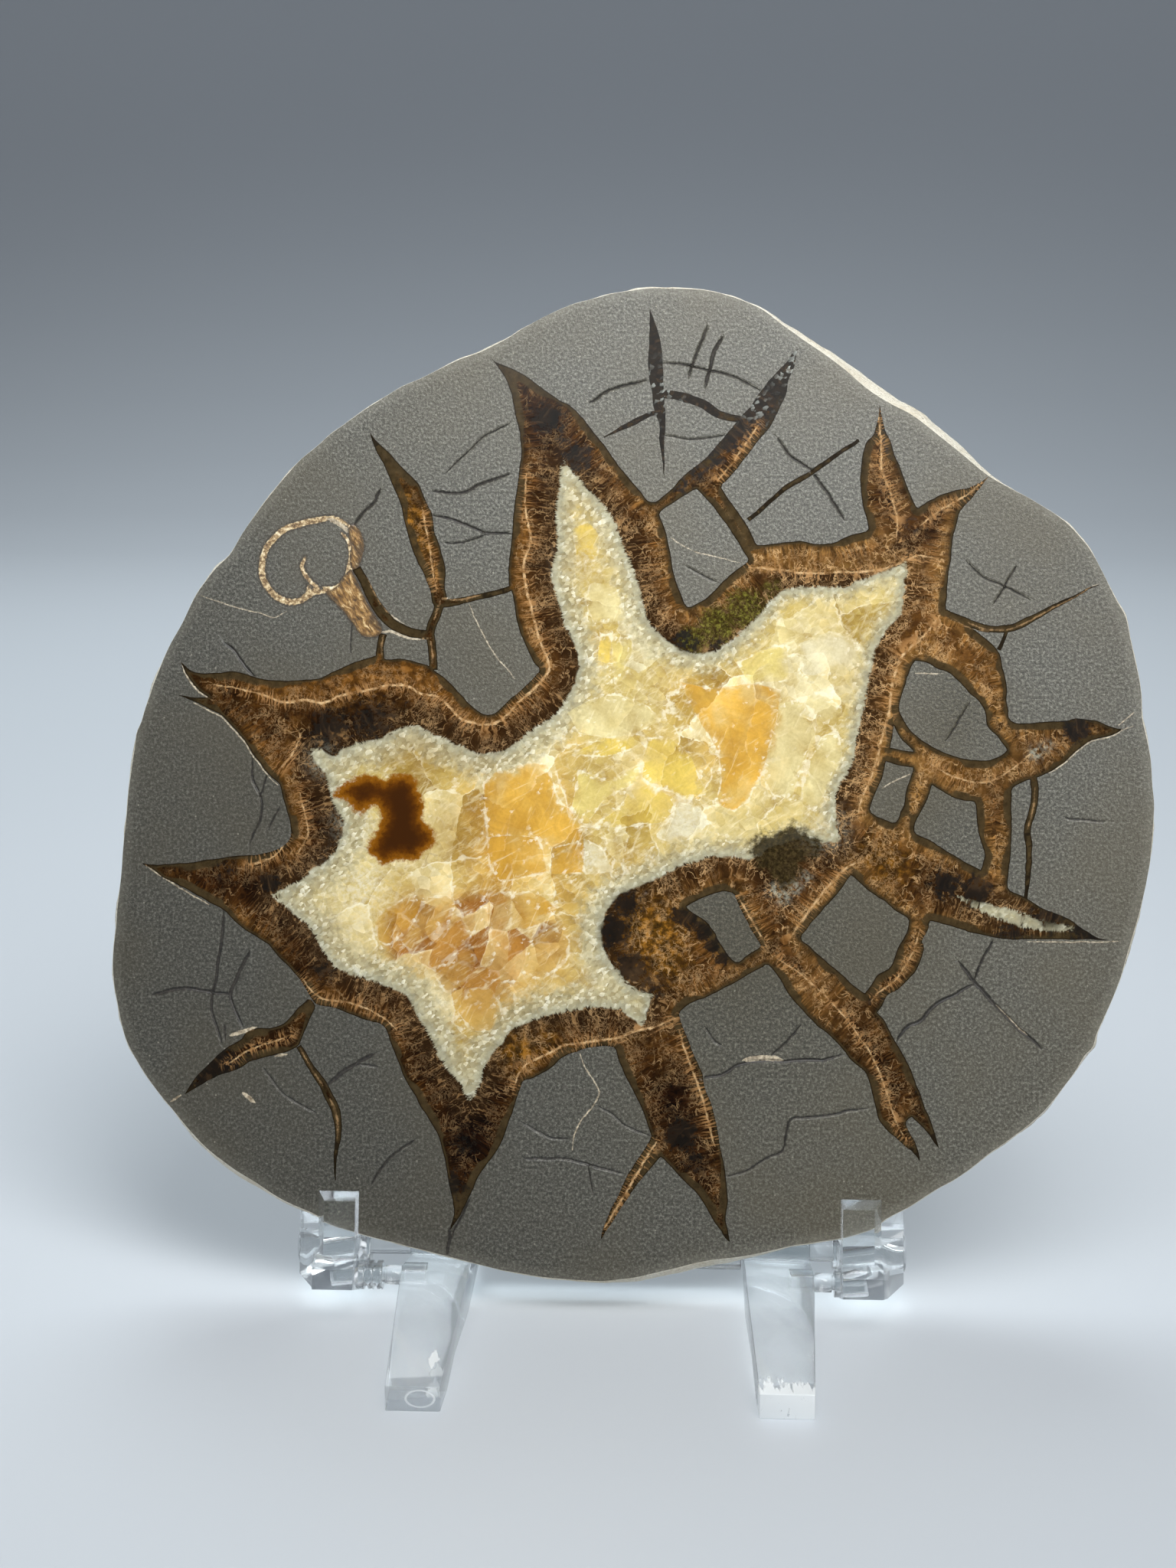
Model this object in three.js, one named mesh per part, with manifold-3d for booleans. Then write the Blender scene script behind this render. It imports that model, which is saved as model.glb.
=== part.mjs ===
// A polished slice of septarian nodule leaning on a clear plastic easel.
// The easel is two foot bars, a stepped rod and two short pins that tie the bars to a pair of slotted arms.
// Millimetres, +Z up. The stone faces -Y. The origin lies on the table under the middle of the whole piece.

import * as THREE from "three";
import { mergeVertices } from "three/addons/utils/BufferGeometryUtils.js";
import Module from "manifold-3d";

const wasm = await Module();
wasm.setup();

// Driving dimensions
const GAP = 0.3;                      // clearance between pieces that touch
const LEAN = THREE.MathUtils.degToRad(15);
const PLAN_MIDDLE = { x: 2.29, y: 37 }; // middle of the footprint, from the easel's centre line and toe line
const ROUND_SIDES = 24;

const STONE = {
  thickness: 6.5,
  right: 4,                           // the stone sits this far right of the easel's centre line
  up: 62,                             // its middle is this far up the slope from the slot level
  samples: 148,
};
const LEG = {
  middle: 22.2, toeHalf: 3.3, waistHalf: 4.4, waistFrom: 24, waistTo: 40, length: 74,
  toeHeight: 3.2, toePad: 5.3, heelPad: 69, arch: 1.6, archFrom: 12, archTo: 62,
  knuckle: 2.4,                       // round eye that the rod passes through
  cradle: -3.85,                      // up the slope: the top drops this low under the stone
};
const SLOT = { y: 28.45, z: 10.3 };   // where the stone's front plane meets the slot level
const PIN = { y: 28.6, z: 4.5, radius: 1.25, endRadius: 0.95, inLeg: 2.8 };
const ROD = { y: 37.3, z: 4.93, radius: 1.25, middleRadius: 2.5 };
const ARM = {
  leftInner: 32.5, rightInner: 30.1,  // inner faces, from the easel's centre line
  width: 8.8, fingerWidth: 5.25,
  toe: -5, fingerFront: -2.9, heel: 12.6, // back from the stone's front plane
  sole: -7.55, fingerFoot: -2.55, floor: -0.45, taperFrom: 3, fingerTop: 4.45, uprightTop: 48,
  uprightThickness: 3, boss: 2.4, bossProud: 0.4,
  collar: 1.9, collarCore: 1.5, collarReach: 29.4, ring: 0.7, ringPitch: 1.2,
  pinDepth: 3.1, rodDepth: 7.2,
};
const STONE_BACK = STONE.thickness + GAP;

const clear = new THREE.MeshStandardMaterial({ color: 0xe4eaec, roughness: 0.05, metalness: 0,
  transparent: true, opacity: 0.35 });
const stoneFinish = new THREE.MeshStandardMaterial({ color: 0x6a6458, roughness: 0.25, metalness: 0 });

// Booleans

function toSolid(geometry) {
  const bare = geometry.clone();
  bare.deleteAttribute("normal");
  bare.deleteAttribute("uv");
  const merged = mergeVertices(bare, 1e-4);
  return new wasm.Manifold(new wasm.Mesh({
    numProp: 3,
    vertProperties: new Float32Array(merged.attributes.position.array),
    triVerts: new Uint32Array(merged.index.array),
  }));
}

function toGeometry(solid) {
  const mesh = solid.getMesh();
  const geometry = new THREE.BufferGeometry();
  geometry.setAttribute("position", new THREE.BufferAttribute(mesh.vertProperties, 3));
  geometry.setIndex(new THREE.BufferAttribute(mesh.triVerts, 1));
  geometry.computeVertexNormals();
  return geometry;
}

function piece(name, geometry, material) {
  const mesh = new THREE.Mesh(geometry, material);
  mesh.name = name;
  return mesh;
}

// Prisms: an outline and the way it is pushed

function prism(outline, depth) {
  const shape = new THREE.Shape(outline.map(([a, b]) => new THREE.Vector2(a, b)));
  return new THREE.ExtrudeGeometry(shape, { depth, bevelEnabled: false });
}

// Outline in (first, second) axes, pushed along the third, from start
function prismAlong(first, second, third, outline, start, end) {
  const turned = new THREE.Matrix4().makeBasis(first, second, third);
  return toSolid(prism(outline, end - start).translate(0, 0, start).applyMatrix4(turned));
}

const X = new THREE.Vector3(1, 0, 0);
const Y = new THREE.Vector3(0, 1, 0);
const Z = new THREE.Vector3(0, 0, 1);
const BACK = Z.clone().negate();      // in the leaning frame +Z faces the viewer and +Y runs up the slope

function cylinderAlongX(radius, start, end, y, z) {
  const geometry = new THREE.CylinderGeometry(radius, radius, end - start, ROUND_SIDES);
  return toSolid(geometry.rotateZ(Math.PI / 2).translate((start + end) / 2, y, z));
}

// The stone: a closed smooth outline, pushed back, with the edge flaring towards the back in three places

const OUTLINE = [
  [3.3, 62.8], [12.4, 61.2], [20, 56.3], [30, 48.7], [40, 41.9], [50, 35], [57.5, 29], [62.7, 19.3],
  [64.7, 9], [66.1, -2.2], [65.7, -12.8], [62.7, -24.9], [58.9, -34.9], [52.1, -44.9], [43, -52.2],
  [32.1, -58.9], [23, -62.1], [8.1, -64.9], [-1, -67.2], [-11.9, -67.3], [-24, -65], [-35.2, -62.4],
  [-46.7, -57.8], [-56.5, -51.5], [-63.9, -43.3], [-68.8, -33.1], [-69.6, -27.1], [-68.8, -15.9],
  [-67.9, -2.8], [-65, 9.6], [-60, 20.7], [-53.6, 29.8], [-45.8, 39.9], [-35.2, 47.9], [-25.2, 53.1],
  [-14.6, 58.5], [-7.3, 61.4],
];
const FLARES = [                      // around the edge, in degrees from the right, and how far it leans out
  { at: 62, spread: 22, reach: 1.5 },
  { at: 47, spread: 12, reach: 1.2 },
  { at: 275, spread: 21, reach: 1.7 },
  { at: 226, spread: 12, reach: 1.6 },
];

function flareAt(x, y) {
  const angle = THREE.MathUtils.euclideanModulo(THREE.MathUtils.radToDeg(Math.atan2(y, x)), 360);
  let reach = 0;
  for (const flare of FLARES) {
    const off = Math.abs(angle - flare.at) / flare.spread;
    if (off < 1) reach += flare.reach * Math.cos(off * Math.PI / 2) ** 2;
  }
  return reach;
}

function makeStone() {
  const points = OUTLINE.map(([u, v]) => new THREE.Vector3(u, v, 0));
  const curve = new THREE.CatmullRomCurve3(points, true, "centripetal");
  const edge = curve.getSpacedPoints(STONE.samples).slice(0, -1);
  const shape = new THREE.Shape(edge.map((p) => new THREE.Vector2(p.x, p.y)));
  const geometry = new THREE.ExtrudeGeometry(shape,
    { depth: STONE.thickness, steps: 3, bevelEnabled: false });
  const position = geometry.attributes.position;
  for (let i = 0; i < position.count; i += 1) {
    const x = position.getX(i);
    const y = position.getY(i);
    const behind = 1 - position.getZ(i) / STONE.thickness;
    const scale = 1 + flareAt(x, y) * Math.sin(behind * Math.PI / 2) / Math.hypot(x, y);
    position.setXY(i, x * scale, y * scale);
  }
  geometry.translate(STONE.right, STONE.up, -STONE.thickness);
  return piece("septarian_slab", toGeometry(toSolid(geometry)), stoneFinish);
}

// The foot bars

function inLeaningFrame(y, z) {
  const back = (y - SLOT.y) * Math.cos(LEAN) - (z - SLOT.z) * Math.sin(LEAN);
  const up = (y - SLOT.y) * Math.sin(LEAN) + (z - SLOT.z) * Math.cos(LEAN);
  return { back, up };
}

function inEaselFrame(back, up) {
  return [
    SLOT.y + back * Math.cos(LEAN) + up * Math.sin(LEAN),
    SLOT.z - back * Math.sin(LEAN) + up * Math.cos(LEAN),
  ];
}

function makeLeg(name, side) {
  const middle = side * LEG.middle;
  const [frontY, frontZ] = inEaselFrame(-2 * GAP, LEG.cradle);
  const [rearY, rearZ] = inEaselFrame(STONE_BACK + GAP, LEG.cradle);
  const profile = [
    [0, 0], [LEG.toePad, 0], [LEG.archFrom, LEG.arch], [LEG.archTo, LEG.arch], [LEG.heelPad, 0],
    [LEG.length, 0], [LEG.length, LEG.toeHeight], [ROD.y + 1.9, ROD.z + 1.4], [ROD.y, rearZ],
    [rearY, rearZ], [frontY, frontZ], [0, LEG.toeHeight],
  ];
  const left = middle - LEG.waistHalf;
  const right = middle + LEG.waistHalf;
  const plan = [
    [middle - LEG.toeHalf, 0], [middle + LEG.toeHalf, 0], [right, LEG.waistFrom],
    [right, LEG.waistTo], [middle + LEG.toeHalf, LEG.length],
    [middle - LEG.toeHalf, LEG.length], [left, LEG.waistTo], [left, LEG.waistFrom],
  ];
  const bar = prismAlong(Y, Z, X, profile, left, right)
    .intersect(prismAlong(X, Y, Z, plan, -1, SLOT.z));
  const knuckle = cylinderAlongX(LEG.knuckle, left, right, ROD.y, ROD.z);
  const rodBore = cylinderAlongX(ROD.radius + GAP, left - 1, right + 1, ROD.y, ROD.z);
  const outerFace = LEG.middle + LEG.waistHalf;
  const boreEnds = [side * (outerFace + 1), side * (outerFace - PIN.inLeg - GAP)];
  const pinBore = cylinderAlongX(PIN.endRadius + GAP, Math.min(...boreEnds), Math.max(...boreEnds),
    PIN.y, PIN.z);
  return piece(name, toGeometry(bar.add(knuckle).subtract(rodBore).subtract(pinBore)), clear);
}

// The arms, built in the leaning frame: x across, y up the slope, -z back

function makeArm(name, side, innerX) {
  const across = (width) => side * (innerX + width);
  const span = (from, to) => [Math.min(across(from), across(to)), Math.max(across(from), across(to))];
  const pin = inLeaningFrame(PIN.y, PIN.z);
  const rod = inLeaningFrame(ROD.y, ROD.z);
  const uprightBack = STONE_BACK + ARM.uprightThickness;

  // Seen from the side, as (back, up): the toe block, the slot's floor, the upright and the rod's housing
  const bodySide = [
    [ARM.toe, -3.95], [ARM.fingerFront, ARM.fingerFoot], [-GAP, ARM.fingerFoot], [-GAP, ARM.floor],
    [STONE_BACK, ARM.floor], [STONE_BACK, ARM.uprightTop], [uprightBack, ARM.uprightTop],
    [uprightBack, ARM.taperFrom], [ARM.heel, -0.3], [ARM.heel, -5.2], [pin.back, ARM.sole],
    [ARM.toe, ARM.sole + 1],
  ];
  // Seen from above, as (width, back): it widens from the finger to the upright
  const bodyPlan = [
    [0, ARM.toe], [ARM.fingerWidth, ARM.toe], [ARM.fingerWidth, -GAP], [ARM.width, STONE_BACK],
    [ARM.width, ARM.heel], [0, ARM.heel],
  ];
  // Seen from the front, as (width, up): the upright narrows to a chamfered tip
  const tipStart = ARM.uprightTop - 2;
  const elevation = [
    [0, ARM.sole - 1], [ARM.width, ARM.sole - 1], [ARM.width, ARM.taperFrom], [7.2, tipStart],
    [6.2, ARM.uprightTop], [2.6, ARM.uprightTop], [1.6, tipStart], [0, ARM.taperFrom],
  ];
  // The finger has a bevelled outer edge and a sloping top
  const fingerPlan = [[0, 0], [0, -GAP], [0.1, ARM.fingerFront], [4.15, ARM.fingerFront],
    [ARM.fingerWidth, -GAP], [ARM.fingerWidth, 0]];
  const fingerSide = [[ARM.fingerFront, ARM.fingerFoot - GAP], [-GAP, ARM.fingerFoot - GAP],
    [-GAP, ARM.fingerTop + 1], [ARM.fingerFront, ARM.fingerTop]];

  const placed = (outline) => outline.map(([w, second]) => [across(w), second]);
  const body = prismAlong(BACK, Y, X, bodySide, ...span(0, ARM.width))
    .intersect(prismAlong(X, BACK, Y, placed(bodyPlan), ARM.sole - 1, ARM.uprightTop + 1))
    .intersect(prismAlong(X, Y, Z, placed(elevation), -ARM.heel - 1, -ARM.toe + 1));
  const finger = prismAlong(BACK, Y, X, fingerSide, ...span(0, ARM.fingerWidth))
    .intersect(prismAlong(X, BACK, Y, placed(fingerPlan), ARM.fingerFoot - 1, ARM.fingerTop + 2));
  const boss = cylinderAlongX(ARM.boss, ...span(-ARM.bossProud, ARM.width + ARM.bossProud),
    rod.up, -rod.back);

  let arm = body.add(finger).add(boss);
  const collarLength = innerX - ARM.collarReach;
  arm = arm.add(cylinderAlongX(ARM.collarCore, ...span(-collarLength, 1), pin.up, -pin.back));
  for (let start = collarLength; start > 0; start -= ARM.ringPitch) {
    const ring = span(-start, -Math.max(start - ARM.ring, -0.2));
    arm = arm.add(cylinderAlongX(ARM.collar, ...ring, pin.up, -pin.back));
  }
  const pinBore = cylinderAlongX(PIN.endRadius + GAP, ...span(-collarLength - 1, ARM.pinDepth + GAP),
    pin.up, -pin.back);
  const rodBore = cylinderAlongX(ROD.radius + GAP, ...span(-2, ARM.rodDepth + GAP), rod.up, -rod.back);
  return piece(name, toGeometry(arm.subtract(pinBore).subtract(rodBore)), clear);
}

// The rod and the pins: turned profiles of (radius, distance along the axis)

function turned(profile, y, z) {
  const points = profile.map(([radius, along]) => new THREE.Vector2(radius, along));
  const geometry = new THREE.LatheGeometry(points, ROUND_SIDES);
  return toGeometry(toSolid(geometry.rotateZ(-Math.PI / 2).translate(0, y, z)));
}

function makeRod() {
  const shoulder = LEG.middle - LEG.waistHalf - GAP;
  const leftEnd = -(ARM.leftInner + ARM.rodDepth);
  const rightEnd = ARM.rightInner + ARM.rodDepth;
  const profile = [
    [0, leftEnd], [ROD.radius, leftEnd], [ROD.radius, -shoulder], [ROD.middleRadius, -shoulder],
    [ROD.middleRadius, shoulder], [ROD.radius, shoulder], [ROD.radius, rightEnd], [0, rightEnd],
  ];
  return piece("cross_rod", turned(profile, ROD.y, ROD.z), clear);
}

function makePin(name, side, armInner) {
  const inLeg = LEG.middle + LEG.waistHalf - PIN.inLeg;
  const legFace = LEG.middle + LEG.waistHalf + GAP;
  const collarFace = ARM.collarReach - GAP;
  const inArm = armInner + ARM.pinDepth;
  const profile = [
    [0, inLeg], [PIN.endRadius, inLeg], [PIN.endRadius, legFace], [PIN.radius, legFace],
    [PIN.radius, collarFace], [PIN.endRadius, collarFace], [PIN.endRadius, inArm], [0, inArm],
  ];
  const sided = side > 0 ? profile : profile.map(([radius, along]) => [radius, -along]).reverse();
  return piece(name, turned(sided, PIN.y, PIN.z), clear);
}

// Assembly

const leaning = new THREE.Group();
leaning.position.set(0, SLOT.y, SLOT.z);
leaning.rotation.x = Math.PI / 2 - LEAN;
leaning.add(makeStone());
leaning.add(makeArm("left_arm", -1, ARM.leftInner));
leaning.add(makeArm("right_arm", 1, ARM.rightInner));

const easel = new THREE.Group();
easel.add(leaning);
easel.add(makeLeg("left_leg", -1));
easel.add(makeLeg("right_leg", 1));
easel.add(makeRod());
easel.add(makePin("left_pin", -1, ARM.leftInner));
easel.add(makePin("right_pin", 1, ARM.rightInner));
easel.position.set(-PLAN_MIDDLE.x, -PLAN_MIDDLE.y, 0);

const model = new THREE.Group();
model.add(easel);

export default model;
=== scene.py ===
"""A polished slice of septarian nodule on a clear moulded easel, for a table top.

Lengths are millimetres where a name says so, and metres in every mesh.
The stone's face is described in its own plane: across to the right, up the slope, and depth behind the face.
"""
import math

import bmesh
import bpy
import numpy as np
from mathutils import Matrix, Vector
from mathutils.geometry import delaunay_2d_cdt


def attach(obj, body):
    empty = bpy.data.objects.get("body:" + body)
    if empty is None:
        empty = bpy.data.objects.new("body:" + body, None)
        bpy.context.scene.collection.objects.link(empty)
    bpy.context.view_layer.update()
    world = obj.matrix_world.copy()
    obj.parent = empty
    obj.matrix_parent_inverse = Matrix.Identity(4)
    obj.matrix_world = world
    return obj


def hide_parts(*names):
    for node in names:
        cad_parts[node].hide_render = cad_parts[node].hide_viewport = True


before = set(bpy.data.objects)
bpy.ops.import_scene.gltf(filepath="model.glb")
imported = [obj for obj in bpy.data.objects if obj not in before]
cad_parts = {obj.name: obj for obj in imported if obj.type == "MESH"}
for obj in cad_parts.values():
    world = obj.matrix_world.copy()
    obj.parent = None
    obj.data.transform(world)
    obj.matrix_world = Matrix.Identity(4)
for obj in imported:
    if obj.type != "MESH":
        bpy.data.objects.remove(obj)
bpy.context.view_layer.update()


# ---------------------------------------------------------------------------------------------
# The setting: a pale table top that rises into a backdrop, soft light from the front right, and
# the camera. Nothing here belongs to the object.
# ---------------------------------------------------------------------------------------------

MM = 0.001


def srgb(red, green, blue):
    """A colour read as 0-255 values, in linear light: ((c + 0.055) / 1.055) to the power 2.4."""
    channels = [((c / 255 + 0.055) / 1.055) ** 2.4 if c > 10 else c / 255 / 12.92
                for c in (red, green, blue)]
    return (*channels, 1.0)


def grid_mesh(name, rows):
    """A mesh from an array of points (rows, columns, 3): each cell of the grid is one quad."""
    rows = np.asarray(rows, dtype=float)
    count_rows, count_columns = rows.shape[:2]
    numbers = np.arange(count_rows * count_columns).reshape(count_rows, count_columns)
    quads = np.stack([numbers[:-1, :-1], numbers[:-1, 1:], numbers[1:, 1:], numbers[1:, :-1]], -1)
    mesh = bpy.data.meshes.new(name)
    mesh.from_pydata(rows.reshape(-1, 3).tolist(), [], quads.reshape(-1, 4).tolist())
    mesh.update()
    return mesh


def backdrop_rows(width, front, back, height, bend, rows_in_bend=16, columns=9):
    """A sheet that runs flat from front to back, turns up in a quarter circle of radius bend, and rises."""
    turn = np.linspace(0, math.pi / 2, rows_in_bend)
    y = np.concatenate([[front], back + bend * np.sin(turn), [back + bend]])
    z = np.concatenate([[0], bend - bend * np.cos(turn), [height]])
    x = np.linspace(-width / 2, width / 2, columns)
    return np.stack([np.tile(x, (len(y), 1)), np.repeat(y[:, None], columns, 1),
                     np.repeat(z[:, None], columns, 1)], -1)


def plain_material(name, colour, roughness):
    """A material with one colour and one roughness all over."""
    material = bpy.data.materials.new(name)
    material.use_nodes = True
    shader = material.node_tree.nodes["Principled BSDF"]
    shader.inputs["Base Color"].default_value = colour
    shader.inputs["Roughness"].default_value = roughness
    return material


backdrop_sheet = backdrop_rows(width=6.0, front=-3.0, back=0.9, height=2.6, bend=1.3)
backdrop = bpy.data.objects.new("backdrop", grid_mesh("backdrop", backdrop_sheet))
bpy.context.collection.objects.link(backdrop)
backdrop.data.materials.append(plain_material("pale table", srgb(205, 210, 216), 0.45))
backdrop.data.polygons.foreach_set("use_smooth", np.ones(len(backdrop.data.polygons), dtype=bool))


def soft_light(name, place, aim, size, watts, colour=(1, 1, 1), spread=180):
    """A square area light, its size in metres, at that place. It faces aim and spreads that many degrees."""
    light = bpy.data.lights.new(name, "AREA")
    light.size = size
    light.energy = watts
    light.color = colour
    light.spread = math.radians(spread)
    lamp = bpy.data.objects.new(name, light)
    lamp.location = place
    lamp.rotation_euler = (Vector(aim) - Vector(place)).to_track_quat("-Z", "Y").to_euler()
    bpy.context.collection.objects.link(lamp)


soft_light("front right window", (0.34, -0.62, 0.74), aim=(0, 0, 0.06), size=0.5, watts=5.2,
           colour=(1.0, 0.99, 0.97))
soft_light("left fill", (-0.9, -0.5, 0.5), aim=(0, 0, 0.06), size=0.8, watts=2.2, colour=(0.95, 0.98, 1.0))
soft_light("overhead", (0.02, -0.12, 0.29), aim=(0.0, 0.035, 0.13), size=0.18, watts=0.14,
           colour=(0.98, 1.0, 1.0), spread=80)
soft_light("top back", (-0.12, 0.60, 0.90), aim=(-0.06, 0.50, 0.0), size=0.6, watts=3.5,
           colour=(0.90, 0.975, 1.0), spread=130)

world = bpy.data.worlds.new("soft room")
world.use_nodes = True
world.node_tree.nodes["Background"].inputs["Color"].default_value = (0.80, 0.87, 0.95, 1)
world.node_tree.nodes["Background"].inputs["Strength"].default_value = 0.23
bpy.context.scene.world = world
bpy.context.scene.view_settings.view_transform = "Standard"

PLAN_MIDDLE_MM = (2.29, 37.0)      # the origin, seen from the easel's centre line and its toes
CAMERA_MM = (9.456, -246.744, 129.0)
LOOKING_DOWN, TURNED_LEFT = 12.0, 2.5      # the camera, in degrees
camera_data = bpy.data.cameras.new("camera")
camera_data.lens = 52.0
camera_data.sensor_width = 36.0
camera = bpy.data.objects.new("camera", camera_data)
camera.location = ((CAMERA_MM[0] - PLAN_MIDDLE_MM[0]) * MM, (CAMERA_MM[1] - PLAN_MIDDLE_MM[1]) * MM,
                   CAMERA_MM[2] * MM)
camera.rotation_euler = (math.radians(90 - LOOKING_DOWN), 0, math.radians(TURNED_LEFT))
bpy.context.collection.objects.link(camera)
bpy.context.scene.camera = camera


# ---------------------------------------------------------------------------------------------
# The slice: one piece of stone, sawn from a nodule and polished. Grey mudstone cracked as it
# shrank, brown aragonite grew on the crack walls, and yellow calcite filled the hollow between.
# Its rim is the nodule's own rough rind.
# ---------------------------------------------------------------------------------------------

SLICE_THICKNESS_MM = 6.5
LEAN = math.radians(15)
# The face's own plane: the foot of its slope on the easel, and how far up the slope its middle lies.
FACE_ZERO_MM = (4.0 - PLAN_MIDDLE_MM[0], 28.45 - PLAN_MIDDLE_MM[1], 10.3)
FACE_MIDDLE_UP_MM = 62.0


def on_easel(across, up, behind):
    """Points of the slice in metres: across runs along x, up climbs the lean, behind goes into the stone."""
    slope = FACE_MIDDLE_UP_MM + up
    return np.stack([FACE_ZERO_MM[0] + across,
                     FACE_ZERO_MM[1] + behind * math.cos(LEAN) + slope * math.sin(LEAN),
                     FACE_ZERO_MM[2] - behind * math.sin(LEAN) + slope * math.cos(LEAN)], -1) * MM


def pairs(text):
    """Points across and up the face, in millimetres, written as one pair after another."""
    return np.array(text.split(), dtype=float).reshape(-1, 2)


# The polished face's edge, clockwise from the top.
FACE_EDGE = pairs("""
 3.3 62.8  6.3 62.7  9.3 62.2  12.4 61.2  15 60  17 58.6  20 56.3  25 52.8  30 48.7  35 45.8  40 41.9
 45 37.8  47.8 36.2  50 35  53 33.3  55 31.7  57.5 29  59 26.5  60 24.6  61.5 21.5  62.7 19.3  63.3 16.5
 63.9 13.8  64.4 11.4  64.7 9  64.8 6.2  65.5 3.2  65.9 .8  66.1 -2.2  66.3 -5.3  66.1 -9.5  65.7 -12.8
 65.2 -15.9  64.5 -18.9  63.6 -21.9  62.7 -24.9  62 -27.4  60.9 -30.4  59.7 -33.1  58.9 -34.9  58.4 -36.5
 57.4 -37.5  56.1 -39.8  54.2 -42.4  52.1 -44.9  50 -46.8  47.3 -48.9  45.2 -50.4  43 -52.2  40.6 -53.9
 38.2 -55.2  35.2 -57.2  32.1 -58.9  30.3 -60.2  26.4 -61.5  23 -62.1  18.4 -63  14.8 -63.9  8.1 -64.9
 4 -66  -1 -67.2  -4.9 -67.6  -11.9 -67.3  -17.9 -66.4  -24 -65  -30.6 -63.4  -35.2 -62.4  -39.7 -61
 -42.7 -59.5  -46.7 -57.8  -50 -55.8  -53 -54  -56.5 -51.5  -59.3 -48.7  -61.6 -46  -63.9 -43.3
 -66.2 -40  -67.7 -37.1  -68.8 -33.1  -69.4 -30.1  -69.6 -27.1  -69.4 -23.4  -69.2 -20.4  -68.8 -15.9
 -68.5 -11.3  -68.2 -6.8  -67.9 -2.8  -67.4 .8  -67.1 3.2  -66.5 4.7  -66.1 6.2  -65 9.6  -63.9 12.6
 -62.9 15  -61.5 17.5  -60 20.7  -58.5 23.1  -57 25.2  -55.2 27  -53.6 29.8  -51.8 32.5  -50 34.9
 -47.6 37.9  -45.8 39.9  -43.9 41.4  -42.1 43.1  -40 44.6  -37.6 46.4  -35.2 47.9  -32.7 49.5  -30 50.7
 -27.6 51.9  -25.2 53.1  -22 54.3  -20.7 54.9  -18.5 56.1  -16.7 57.3  -14.6 58.5  -12.5 59.6
 -9.8 60.7  -7.3 61.4  -4.9 62  -2.2 62.5  .2 62.8""")

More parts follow.
